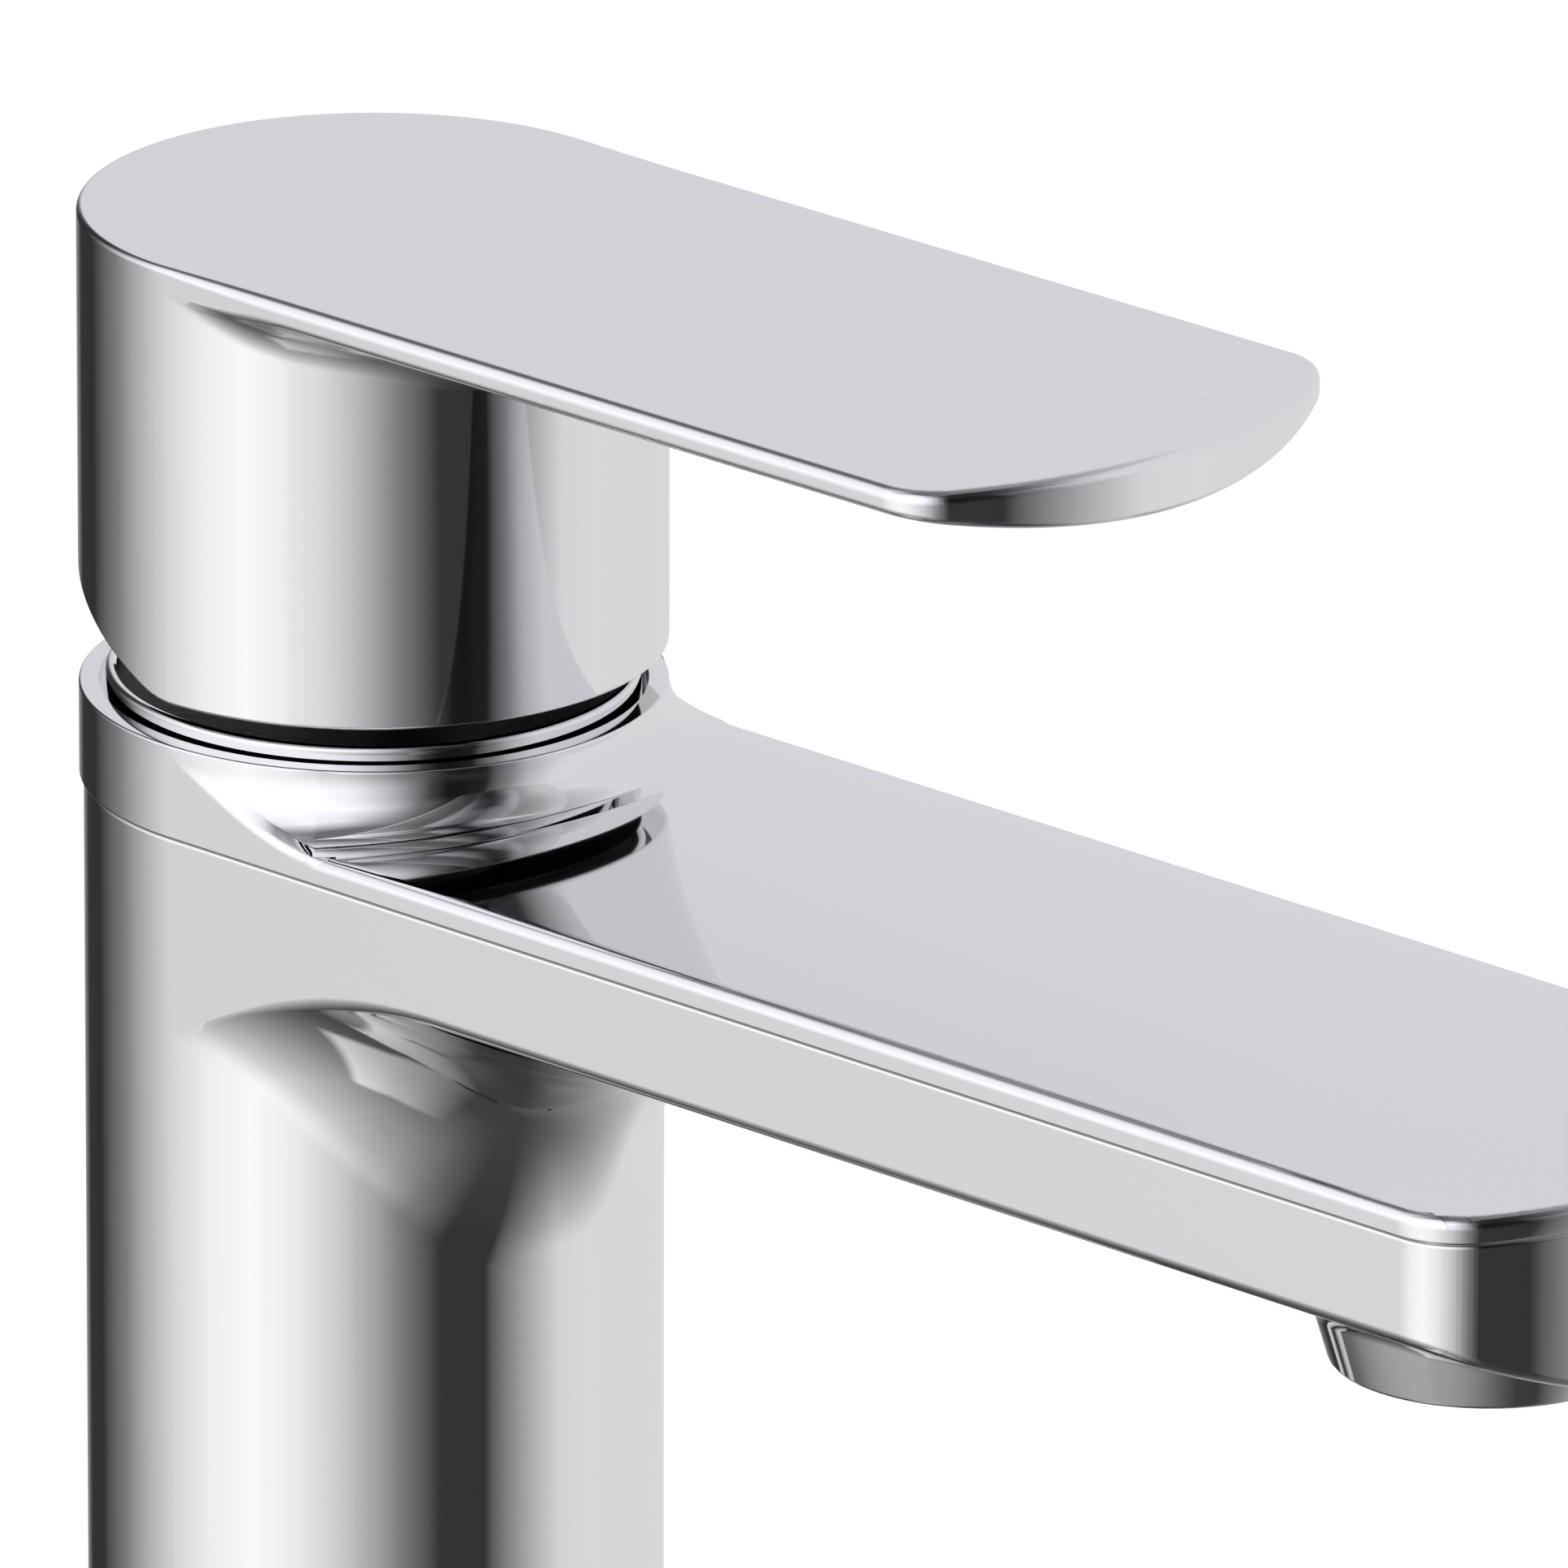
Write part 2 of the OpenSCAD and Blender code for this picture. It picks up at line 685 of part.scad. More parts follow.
module stem() {
    square_z = guide_top + stem_w * 0.375;
    neck_half = stem_w * 0.325;
    ear_r = stem_w * 0.625;
    color(steel) difference() {
        union() {
            translate([0, 0, ball_z]) sphere(r = ball_r);
            disc(neck_half, ball_z, pivot_z - ear_r + over);
            rod_x(ear_r, blade_x, pivot_z);
            slab(blade_x, -neck_half, neck_half, pivot_z - ear_r - over, pivot_z);
            slab(blade_x, -stem_w / 2, stem_w / 2, pivot_z, square_z + over);
            slab(stem_w / 2, -stem_w / 2, stem_w / 2, square_z, stem_top);
        }
        rod_x(pin_r + fit_gap, ear_r, pivot_z);
    }
}

// The lever: flat plate and drum in one casting, with a hub for the stem inside the drum
module handle() {
    socket = stem_w / 2 + fit_gap;
    cut_w = 5 * cap_r;
    color(chrome) difference() {
        union() {
            difference() {
                union() {
                    disc(cap_r, drum_z, lever_z);
                    arm(cap_r, lever_len, lever_nose_r, lever_corner_r, plate_side, plate_belly, lever_z);
                    front_only(cap_r, plate_z - 2 * lever_fillet_r, plate_z + plate_side)
                        fillet_ring(cap_r, lever_fillet_r, plate_z + plate_belly / 4, -1);
                }
                disc(cap_r - lever_wall, drum_z - over, plate_z - crown_t);
                // The rear is cut back so that the drum clears the dome ring when the lever lifts
                translate([0, cut_start, drum_z]) rotate([lift_deg, 0, 0])
                    translate([-cut_w / 2, 0, -cut_w]) cube([cut_w, cut_w, cut_w]);
            }
            disc(hub_r, hub_z, plate_z - over);
        }
        slab(socket, -socket, socket, hub_z - over, stem_top + loose_gap);
        // Grub screw thread in the hub, and its access hole in the drum's rear
        rod_y(screw_r, 0, cap_r - crown_t, screw_z);
        rod_y(plug_r, hub_r + crown_t, cap_r + over, screw_z);
    }
}

module grub_screw() {
    y0 = stem_w / 2;
    color(steel) difference() {
        rod_y(screw_r - fit_gap, y0, y0 + screw_len, screw_z);
        translate([0, y0 + screw_len / 2, screw_z]) rotate([-90, 0, 0])
            cylinder(r = 0.58 * screw_r, h = screw_len, $fn = 6);
    }
}

module index_plug() {
    color(grey_plastic) rod_y(plug_r - fit_gap, cap_r - plug_t - plug_sunk, cap_r - plug_sunk, screw_z);
}

// Horseshoe plan: a round plate with a slot for the hoses, and a hole for the stud
module horseshoe(r, z0, z1) {
    difference() {
        disc(r, z0, z1);
        slab(slot_half, -r - over, stud_y - stud_r - bridge, z0 - over, z1 + over);
        translate([0, stud_y, 0]) disc(stud_r + stud_clear, z0 - over, z1 + over);
    }
}

module rubber_pad() {
    color(rubber) horseshoe(washer_r, -deck_t - pad_t, -deck_t);
}

module clamp_washer() {
    color(steel) horseshoe(washer_r - dome_gap, -deck_t - pad_t - washer_t, -deck_t - pad_t);
}

module clamp_nut() {
    top = -deck_t - pad_t - washer_t;
    color(brass) translate([0, stud_y, 0]) difference() {
        translate([0, 0, top - nut_t]) cylinder(r = nut_af / sqrt(3), h = nut_t, $fn = 6);
        disc(stud_r + fit_gap, top - nut_t - over, top + over);
    }
}

body();
top_cover();
dome_ring();
cartridge_nut();
cartridge_housing();
cartridge_base();
inlet_seals();
disc_seal();
fixed_disc();
cartridge_o_ring();
guide_o_ring();
limit_ring();
spout_tube();
tube_o_rings();
aerator_body();
aerator_insert();
aerator_mesh();
aerator_washer();
foot_seal();
mounting_stud();
rotating_guide();
pivot_pin();
stem();
handle();
grub_screw();
index_plug();
disc_carrier();
moving_disc();
rubber_pad();
clamp_washer();
clamp_nut();
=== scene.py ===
import json
from math import acos, asin, ceil, cos, degrees, hypot, pi, radians, sin, sqrt, tan

import bmesh
import bpy
from mathutils import Matrix, Vector


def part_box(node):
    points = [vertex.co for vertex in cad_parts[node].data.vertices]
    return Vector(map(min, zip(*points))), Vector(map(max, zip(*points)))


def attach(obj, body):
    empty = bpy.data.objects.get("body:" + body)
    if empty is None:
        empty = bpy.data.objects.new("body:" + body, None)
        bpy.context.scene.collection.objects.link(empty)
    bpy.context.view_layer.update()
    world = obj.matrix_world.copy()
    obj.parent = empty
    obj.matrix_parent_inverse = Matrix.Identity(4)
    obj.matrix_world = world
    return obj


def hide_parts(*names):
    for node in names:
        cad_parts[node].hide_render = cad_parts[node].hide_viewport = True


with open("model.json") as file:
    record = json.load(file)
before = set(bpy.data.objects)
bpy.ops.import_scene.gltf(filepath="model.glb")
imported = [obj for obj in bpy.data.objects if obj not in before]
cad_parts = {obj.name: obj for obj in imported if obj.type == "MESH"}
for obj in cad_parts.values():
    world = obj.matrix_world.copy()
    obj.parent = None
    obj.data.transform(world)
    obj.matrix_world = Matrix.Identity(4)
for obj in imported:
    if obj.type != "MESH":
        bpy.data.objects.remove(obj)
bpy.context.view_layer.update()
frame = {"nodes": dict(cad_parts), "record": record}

MM = 0.001
FLOOR_Z = -62.5 * MM        # just under the stud's end
IMAGE = 1932                # the picture's width and height in pixels


# ------------ small helpers
def srgb(code):
    """A hex colour as linear RGBA."""
    parts = [int(code[i:i + 2], 16) / 255 for i in (1, 3, 5)]
    return [c / 12.92 if c <= 0.04045 else ((c + 0.055) / 1.055) ** 2.4 for c in parts] + [1.0]


def add_node(tree, kind, settings=None, **links):
    """Adds a node with its properties, sockets and ramp stops, and links it to others' outputs."""
    node = tree.nodes.new(kind)
    for name, value in (settings or {}).items():
        if name == "stops":
            elements = node.color_ramp.elements
            elements.remove(elements[-1])
            for i, (position, level) in enumerate(value):
                element = elements[0] if i == 0 else elements.new(position)
                element.position, element.color = position, (level, level, level, 1)
        elif hasattr(node, name) and name not in node.inputs:
            setattr(node, name, value)
        else:
            node.inputs[int(name[1:]) if name[0] == "#" else name].default_value = value
    for name, source in links.items():
        target = node.inputs[int(name)] if name.isdigit() else node.inputs[name.replace("_", " ")]
        tree.links.new(source, target)
    return node


def calc(tree, operation, *terms):
    """The result of a maths node; each term is a number or another node's output."""
    node = add_node(tree, "ShaderNodeMath", {"operation": operation})
    for target, term in zip(node.inputs, terms):
        if isinstance(term, float):
            target.default_value = term
        else:
            tree.links.new(term, target)
    return node.outputs[0]


def rescaled(tree, source, start, end, low=0.0, high=1.0):
    """An output moved from the range start to end into low to high, and held at its ends."""
    node = add_node(tree, "ShaderNodeMapRange", {"#1": start, "#2": end, "#3": low, "#4": high},
                    Value=source)
    return node.outputs["Result"]


def smooth(a, b, x):
    """Eases from 0 at a to 1 at b."""
    t = min(1, max(0, (x - a) / (b - a)))
    return t * t * (3 - 2 * t)


def halve(low, high, below):
    """The place between low and high where below stops holding."""
    for _ in range(50):
        middle = (low + high) / 2
        low, high = (middle, high) if below(middle) else (low, middle)
    return (low + high) / 2


def only(obj):
    """Makes obj the one that is selected and active."""
    bpy.ops.object.select_all(action="DESELECT")
    obj.select_set(True)
    bpy.context.view_layer.objects.active = obj


def face(bm, points):
    """Adds a face with corners of its own; new_object welds them to its neighbours'."""
    bm.faces.new([bm.verts.new(p) for p in points])


def new_object(name, bm):
    """Welds a mesh in millimetres, turns its faces outwards and puts it in the scene in metres."""
    bmesh.ops.remove_doubles(bm, verts=bm.verts, dist=0.002)
    bmesh.ops.dissolve_degenerate(bm, edges=bm.edges, dist=0.001)
    bmesh.ops.recalc_face_normals(bm, faces=bm.faces)
    bmesh.ops.scale(bm, vec=(MM, MM, MM), verts=bm.verts)
    mesh = bpy.data.meshes.new(name)
    bm.to_mesh(mesh)
    bm.free()
    obj = bpy.data.objects.new(name, mesh)
    bpy.context.collection.objects.link(obj)
    return obj


def apply(obj, kind, **settings):
    """Adds a modifier with its settings and applies it."""
    only(obj)
    modifier = obj.modifiers.new(kind.lower(), kind)
    for name, value in settings.items():
        setattr(modifier, name, value)
    bpy.ops.object.modifier_apply(modifier=modifier.name)


def polish(obj, angle=28):
    """Smooth faces with the flats kept flat, so that reflections run without a wave."""
    only(obj)
    bpy.ops.object.shade_smooth_by_angle(angle=radians(angle))
    apply(obj, "WEIGHTED_NORMAL", mode="FACE_AREA", weight=80, keep_sharp=True)


def round_edges(obj, width_at, segments=4):
    """Rounds each sharp edge by the width, in mm, that width_at gives for its middle and its angle."""
    mesh = obj.data
    bm = bmesh.new()
    bm.from_mesh(mesh)
    layer = bm.edges.layers.float.new("bevel_weight_edge")
    for edge in bm.edges:
        if len(edge.link_faces) == 2:
            angle = degrees(edge.calc_face_angle(0))
            middle = (edge.verts[0].co + edge.verts[1].co) / (2 * MM)
            edge[layer] = width_at(middle, angle)
    bm.to_mesh(mesh)
    bm.free()
    apply(obj, "BEVEL", limit_method="WEIGHT", width=MM, segments=segments, profile=0.5,
          use_clamp_overlap=False, miter_outer="MITER_SHARP")


def combine(obj, other, operation):
    """Joins another closed mesh to a piece, or keeps what both share, or takes it out."""
    apply(obj, "BOOLEAN", operation=operation, solver="EXACT", object=other)
    bpy.data.objects.remove(other)


def cut(obj, cutters):
    """Takes closed meshes out of a piece."""
    for cutter in cutters:
        combine(obj, cutter, "DIFFERENCE")


def rod(radius, low, high, centre=(0, 0), around="z", corners=96):
    """A closed rod, for cutting bores; low and high are along its axis."""
    bpy.ops.object.select_all(action="DESELECT")
    bpy.ops.mesh.primitive_cylinder_add(vertices=corners, radius=radius * MM,
                                        depth=(high - low) * MM)
    obj = bpy.context.object
    middle = (low + high) / 2
    if around == "y":
        turn, place = Matrix.Rotation(radians(-90), 4, "X"), (centre[0], middle, centre[1])
    else:
        turn, place = Matrix.Identity(4), (centre[0], centre[1], middle)
    obj.data.transform(Matrix.Translation(Vector(place) * MM) @ turn)
    return obj


def lathe(name, profile, centre=(0, 0), segments=96, ring=False):
    """Turned piece: a circle drawn along a profile of (radius, height) in mm.

    A ring's last edge is joined to its first; otherwise both ends are filled.
    """
    bpy.ops.object.select_all(action="DESELECT")
    x, y = centre[0] * MM, centre[1] * MM
    radius, height = profile[0]
    bpy.ops.mesh.primitive_circle_add(vertices=segments, radius=radius * MM,
                                      location=(x, y, height * MM))
    obj = bpy.context.object
    obj.name = obj.data.name = name
    bpy.ops.object.transform_apply(location=True)
    bpy.ops.object.mode_set(mode="EDIT")
    bpy.ops.mesh.select_all(action="SELECT")
    for radius_next, height_next in profile[1:]:
        rise = (0, 0, (height_next - height) * MM)
        bpy.ops.mesh.extrude_edges_move(TRANSFORM_OT_translate={"value": rise})
        grow = radius_next / radius
        bpy.ops.transform.resize(value=(grow, grow, 1), center_override=(x, y, height_next * MM))
        radius, height = radius_next, height_next
    if ring:
        bpy.ops.mesh.select_all(action="DESELECT")
        bpy.ops.mesh.select_non_manifold()
        bpy.ops.mesh.bridge_edge_loops()
    else:
        bpy.ops.mesh.select_all(action="SELECT")
        bpy.ops.mesh.fill_holes(sides=0)
    bpy.ops.mesh.select_all(action="SELECT")
    bpy.ops.mesh.normals_make_consistent(inside=False)
    bpy.ops.object.mode_set(mode="OBJECT")
    return obj


def softened(name, node, width, segments=3):
    """The frame's own part with its edges broken by the width in mm."""
    obj = bpy.data.objects.new(name, frame["nodes"][node].data.copy())
    obj.data.name = name
    bpy.context.collection.objects.link(obj)
    only(obj)
    bpy.ops.object.mode_set(mode="EDIT")
    bpy.ops.mesh.select_all(action="SELECT")
    bpy.ops.mesh.remove_doubles(threshold=1e-6)
    bpy.ops.mesh.dissolve_limited(angle_limit=radians(0.5))
    bpy.ops.object.mode_set(mode="OBJECT")
    apply(obj, "BEVEL", limit_method="ANGLE", angle_limit=radians(35), width=width * MM,
          segments=segments)
    polish(obj, angle=40)
    return obj


# ------------ sizes, in millimetres
COLUMN_R, CAP_R = 21.67, 22.0               # column, and the collar and drum above it
FOOT_Z, SIDE_Z, SEAM_Z, TOP_Z = 0.8, 92.5, 100.55, 102.6    # foot, spout's lower edge, seam, top
BELLY = 5.6                                 # how far the spout's underside bulges below its sides
LAND_Z, COLLAR_BORE_R = 107.9, 20.5         # collar's flat top and its bore
NOSE_Y, REACH = 134.3, 112.4                # spout's end and the outlet's axis, from the column's
NOZZLE_Z, NOZZLE_R, NOZZLE_BORE, ROOF_Z = 82.9, 11.4, 9.25, 98.0
LEVER_Z, DRUM_Z, LEVER_LEN = 145.0, 111.1, 82.5
PLATE_SIDE, PLATE_BELLY = 2.0, 2.5          # lever plate at its sides, and what its middle adds
DOME_R, DOME_Z = 20.0, 109.1


def nose_half(half, length, nose_r, corner_r, stations, even=72, corner=32):
    """Plan of the nose from the side (x = half) to the middle (x = 0), as (x, y)."""
    cx = half - corner_r
    lean = asin(cx / (nose_r - corner_r))
    nose_c = -(length - nose_r)
    corner_c = nose_c - (nose_r - corner_r) * cos(lean)
    join_x = nose_r * sin(lean)

    def y_at(x):
        if x > join_x:
            return corner_c - sqrt(max(0, corner_r ** 2 - (x - cx) ** 2))
        return nose_c - sqrt(nose_r ** 2 - x * x)

    xs = {round(x, 6) for x in stations} | {round(half * i / even, 6) for i in range(even)}
    for i in range(corner + 1):
        a = (pi / 2 - lean) * i / corner
        xs.add(round(cx + corner_r * cos(a), 6))
    xs = sorted(xs, reverse=True)
    keep = [xs[0]]
    for x in xs[1:]:
        if abs(keep[-1] - x) > 1e-4:
            keep.append(x)
    return [(x, y_at(x)) for x in keep], corner_c


def steps_to_edge(arc, rows, room):
    """Even steps from 0 to 1 with a wider last one, so that the edge has room to be rounded."""
    last = min(room / arc, 0.5) if arc > 1e-6 else 0.5
    return [(1 - last) * k / (rows - 1) for k in range(rows)] + [1.0]


class Arm:
    """A column with a flat arm of a round underside, eased into each other by a rolling ball."""

    def __init__(self, half, length, nose_r, corner_r, top, side, belly, ball, bottom, steps=18,
                 on_edge=False, splits=()):
        self.half, self.top, self.side = half, top, side
        self.belly_r = (half ** 2 + belly ** 2) / (2 * belly)
        self.axis_z = side - belly + self.belly_r
        self.ball, self.bottom = ball, bottom       # functions: the ball's radius, the lower end
        self.on_edge = on_edge                      # whether the ball runs out on the side's edge
        self.splits = splits                        # where the long top edges get an extra point
        self.stations = [half * i / steps for i in range(steps + 1)]
        self.nose, self.corner_y = nose_half(half, length, nose_r, corner_r, self.stations)

    def belly_z(self, x):
        """Height of the underside at x."""
        return self.axis_z - sqrt(self.belly_r ** 2 - x * x)

    def scoop(self, phi, t):
        """Point of the fillet: phi is round the column, t from the column (0) to the belly (1)."""
        r = self.ball(phi)
        x, y = (self.half + r) * sin(phi), -(self.half + r) * cos(phi)
        z = self.axis_z - sqrt((self.belly_r + r) ** 2 - x * x)
        d1 = Vector((-sin(phi), cos(phi), 0))
        d2 = Vector((-x, 0, self.axis_z - z)).normalized()
        if self.on_edge and x * self.belly_r > self.half * (self.belly_r + r):
            # Past the belly the ball rolls on the side's lower edge
            z = self.side - sqrt(max(0, r * r - (x - self.half) ** 2))
            d2 = Vector((self.half - x, 0, self.side - z)) / r
        w = acos(max(-1, min(1, d1.dot(d2))))
        if w < 1e-6:
            return Vector((x, y, z)) + d1 * r
        d = (d1 * sin((1 - t) * w) + d2 * sin(t * w)) / sin(w)
        return Vector((x, y, z)) + d * r

    def phi_at(self, x):
        """Angle at which the fillet meets the belly at x."""
        return halve(0.0, pi / 2, lambda phi: self.scoop(phi, 1).x < x)

    def t_at(self, phi):
        """How far the fillet runs before it reaches the side."""
        if self.on_edge or self.scoop(phi, 1).x <= self.half + 1e-9:
            return 1.0
        return halve(0.0, 1.0, lambda t: self.scoop(phi, t).x < self.half)

    def build(self, rows=30, tip_steps=26, rear=96, hole=None):
        """The skin down to its open foot, and the foot's outline; hole is a nozzle on the belly."""
        bm = bmesh.new()
        half, top = self.half, self.top
        phis = [self.phi_at(x) for x in self.stations]
        last = phis[-1]
        tips = [last + (pi / 2 - last) * (1 - (1 - i / tip_steps) ** 1.6)
                for i in range(1, tip_steps + 1)]
        grid = []
        for phi in phis + tips:
            end = self.t_at(phi) if self.on_edge or phi < pi / 2 - 1e-9 else 0.0
            if phi <= last + 1e-12:
                end = 1.0
            arc = (self.scoop(phi, 0) - self.scoop(phi, end)).length
            grid.append([self.scoop(phi, end * f) for f in steps_to_edge(arc, rows, 0.8)])
        for line in grid[len(phis) - 1:]:
            line[-1].x = half
        for s in (1, -1):
            side = [[Vector((s * p.x, p.y, p.z)) for p in line] for line in grid]
            for a, b in zip(side, side[1:]):
                for k in range(rows):
                    face(bm, [a[k], b[k], b[k + 1], a[k + 1]])
                face(bm, [a[0], b[0], Vector((b[0].x, b[0].y, self.bottom(b[0]))),
                      Vector((a[0].x, a[0].y, self.bottom(a[0])))])
            tip = side[-1][0]
            # Side wall
            edge = [line[-1] for line in side[len(phis) - 1:]][::-1]
            nose = [Vector((s * x, y, self.belly_z(x))) for x, y in self.nose]
            face(bm, [Vector((s * half, 0, top))] + edge
                 + [nose[0], Vector((s * half, self.corner_y, top))]
                 + [Vector((s * half, y, top)) for y in self.splits[::-1]])
            # Nose wall
            for p, q in zip(nose, nose[1:]):
                face(bm, [p, q, Vector((q.x, q.y, top)), Vector((p.x, p.y, top))])
            # Belly strips
            for j in range(len(self.stations) - 1):
                x0, x1 = self.stations[j], self.stations[j + 1]
                ends = [Vector((s * x, y, self.belly_z(x))) for x, y in self.nose
                        if x0 - 1e-5 <= x <= x1 + 1e-5]
                back = [side[j][-1], side[j + 1][-1]]
                if hole is None or x0 >= hole.edge_x:
                    face(bm, back + ends)
                elif x1 < hole.edge_x:
                    face(bm, back + hole.at(s, x0, x1, True))
                    face(bm, hole.at(s, x0, x1, False) + ends)
                else:
                    face(bm, back + ends + hole.round_end(s))
            # Rear wall; its first face also takes the tip of the fillet
            for i in range(rear // 2):
                a, b = pi * i / rear, pi * (i + 1) / rear
                p = Vector((s * half * cos(a), half * sin(a), 0))
                q = Vector((s * half * cos(b), half * sin(b), 0))
                low_p = Vector((p.x, p.y, self.bottom(p)))
                low_q = Vector((q.x, q.y, self.bottom(q)))
                wall = [Vector((p.x, p.y, top)), Vector((q.x, q.y, top)), low_q, low_p]
                if i == 0:
                    wall.append(tip)
                face(bm, wall)
        # Top face, and the foot's outline
        half_ring = [(half * cos(pi * i / rear), half * sin(pi * i / rear)) for i in range(rear + 1)]
        outline = (half_ring + [(-half, y) for y in self.splits] + [(-x, y) for x, y in self.nose]
                   + self.nose[::-1][1:] + [(half, y) for y in self.splits[::-1]])
        face(bm, [Vector((x, y, top)) for x, y in outline])
        front = [line[0] for line in grid]
        foot = [Vector((x, y, 0)) for x, y in half_ring]
        foot += [Vector((-p.x, p.y, 0)) for p in front[::-1][1:]]
        foot += [Vector((p.x, p.y, 0)) for p in front[1:-1]]
        return bm, [Vector((p.x, p.y, self.bottom(p))) for p in foot]


class Nozzle:
    """The tapered outlet under the arm and its flare, as rings round the outlet's axis."""

    def __init__(self, arm, reach, radius, low, slope, ball, ends=12):
        self.arm, self.reach, self.radius = arm, reach, radius
        self.low, self.slope, self.ball = low, slope, ball
        widest = self.point(pi / 2, 1).x
        inside = [x for x in arm.stations if x < widest - 0.3]
        self.turns = [self.turn_at(x) for x in inside]
        first = self.turns[-1]
        self.between = [first + (pi - 2 * first) * i / ends for i in range(1, ends)]
        # The last strip that the flare crosses only in part holds its whole round end
        self.edge_x = inside[-1] + 1e-6

    def centre(self, turn):
        """Distance from the outlet's axis and height at which the flare's ball rests."""
        s = sqrt(1 + self.slope ** 2)
        z = self.low + 4
        for _ in range(60):
            rho = self.radius + self.slope * (z - self.low) + self.ball * s
            x = rho * sin(turn)
            z = self.arm.axis_z - sqrt((self.arm.belly_r + self.ball) ** 2 - x * x)
        return rho, z

    def point(self, turn, t):
        """Point of the flare: t from the nozzle (0) to the belly (1)."""
        rho, z = self.centre(turn)
        s = sqrt(1 + self.slope ** 2)
        out = Vector((sin(turn), cos(turn), 0))
        c = Vector((rho * out.x, -self.reach + rho * out.y, z))
        d1 = (-out + Vector((0, 0, self.slope))) / s
        d2 = Vector((-c.x, 0, self.arm.axis_z - c.z)).normalized()
        w = acos(max(-1, min(1, d1.dot(d2))))
        return c + (d1 * sin((1 - t) * w) + d2 * sin(t * w)) / sin(w) * self.ball

    def turn_at(self, x):
        """Angle at which the flare meets the belly at x."""
        return halve(0.0, pi / 2, lambda turn: self.point(turn, 1).x < x)

    def flip(self, s, p, back):
        """The same point on side s, and in front of the outlet unless back."""
        return Vector((s * p.x, p.y if back else -2 * self.reach - p.y, p.z))

    def at(self, s, x0, x1, back):
        """The flare's edge between x0 and x1, in the order that closes a belly strip."""
        order = (x1, x0) if back else (x0, x1)
        return [self.flip(s, self.point(self.turn_at(x), 1), back) for x in order]

    def round_end(self, s):
        """The flare's edge round its side s."""
        first = self.turns[-1]
        pts = [pi - first] + self.between[::-1] + [first]
        return [self.flip(s, self.point(a, 1), True) for a in pts]

    def build(self, bm, rows=14):
        """Adds the flare, the wall, the lip and the bore up to its roof."""
        half_turn = self.turns + self.between + [pi - a for a in self.turns[::-1]]
        ring = half_turn + [2 * pi - a for a in half_turn[::-1][1:-1]]
        lines = []
        for a in ring:
            line = [self.point(a, 1 - k / rows) for k in range(rows + 1)]
            for r, z in ((self.radius, self.low), (NOZZLE_BORE, self.low), (NOZZLE_BORE, ROOF_Z)):
                line.append(Vector((r * sin(a), r * cos(a) - self.reach, z)))
            lines.append(line)
        for a, b in zip(lines, lines[1:] + lines[:1]):
            for k in range(len(a) - 1):
                face(bm, (a[k], b[k], b[k + 1], a[k + 1]))
        face(bm, [line[-1] for line in lines])


# ------------ camera
# A long lens from the front left, a little above: 643 mm on a 36 mm back, 2.07 m away. It looks at the
# top of the drum, on the column's axis, which stands at AIM in the picture.
TURN, TILT, ROLL = radians(-46.338), radians(19.148), radians(0.161)
FOCAL, DISTANCE, AIM = 34510.9, 2074.1, (459.52, 250.33)    # pixels, mm, pixels from the top left
AIM_Z = LEVER_Z - 0.12
back = Vector((sin(TURN) * cos(TILT), -cos(TURN) * cos(TILT), sin(TILT)))
flat = Vector((cos(TURN), sin(TURN), 0))
rise = back.cross(flat)
right = flat * cos(ROLL) + rise * sin(ROLL)
up = rise * cos(ROLL) - flat * sin(ROLL)
aside, above = ((a - IMAGE / 2) / FOCAL * DISTANCE for a in AIM)
eye = back * DISTANCE - right * aside + up * above
eye.z += AIM_Z
camera_data = bpy.data.cameras.new("camera")
camera_data.sensor_width, camera_data.lens, camera_data.clip_start = 36, 36 * FOCAL / IMAGE, 0.05
camera = bpy.data.objects.new("camera", camera_data)
bpy.context.collection.objects.link(camera)
camera.matrix_world = Matrix.Translation(eye * MM) @ Matrix((right, up, back)).transposed().to_4x4()
bpy.context.scene.camera = camera


# ------------ materials
def new_material(name):
    """A material with a bare Principled shader: material, node tree, shader."""
    material = bpy.data.materials.new(name)
    material.use_nodes = True
    tree = material.node_tree
    tree.nodes.clear()
    shader = add_node(tree, "ShaderNodeBsdfPrincipled")
    add_node(tree, "ShaderNodeOutputMaterial", None, Surface=shader.outputs["BSDF"])
    return material, tree, shader


def chrome(name, haze=0.035, worn=0.02):
    """Bright chromium plate on buffed brass: a mirror with a faint haze left by the buffing wheel."""
    material, tree, shader = new_material(name)
    shader.inputs["Base Color"].default_value = srgb("#e7e8e9")
    shader.inputs["Metallic"].default_value = 1.0
    place = add_node(tree, "ShaderNodeTexCoord")
    # Haze in patches of about 12 mm
    patches = add_node(tree, "ShaderNodeTexNoise", {"Scale": 80.0, "Detail": 3.0, "Roughness": 0.5},
                       Vector=place.outputs["Object"])
    level = rescaled(tree, patches.outputs["Fac"], 0.3, 0.7, haze, haze + worn)
    tree.links.new(level, shader.inputs["Roughness"])
    return material


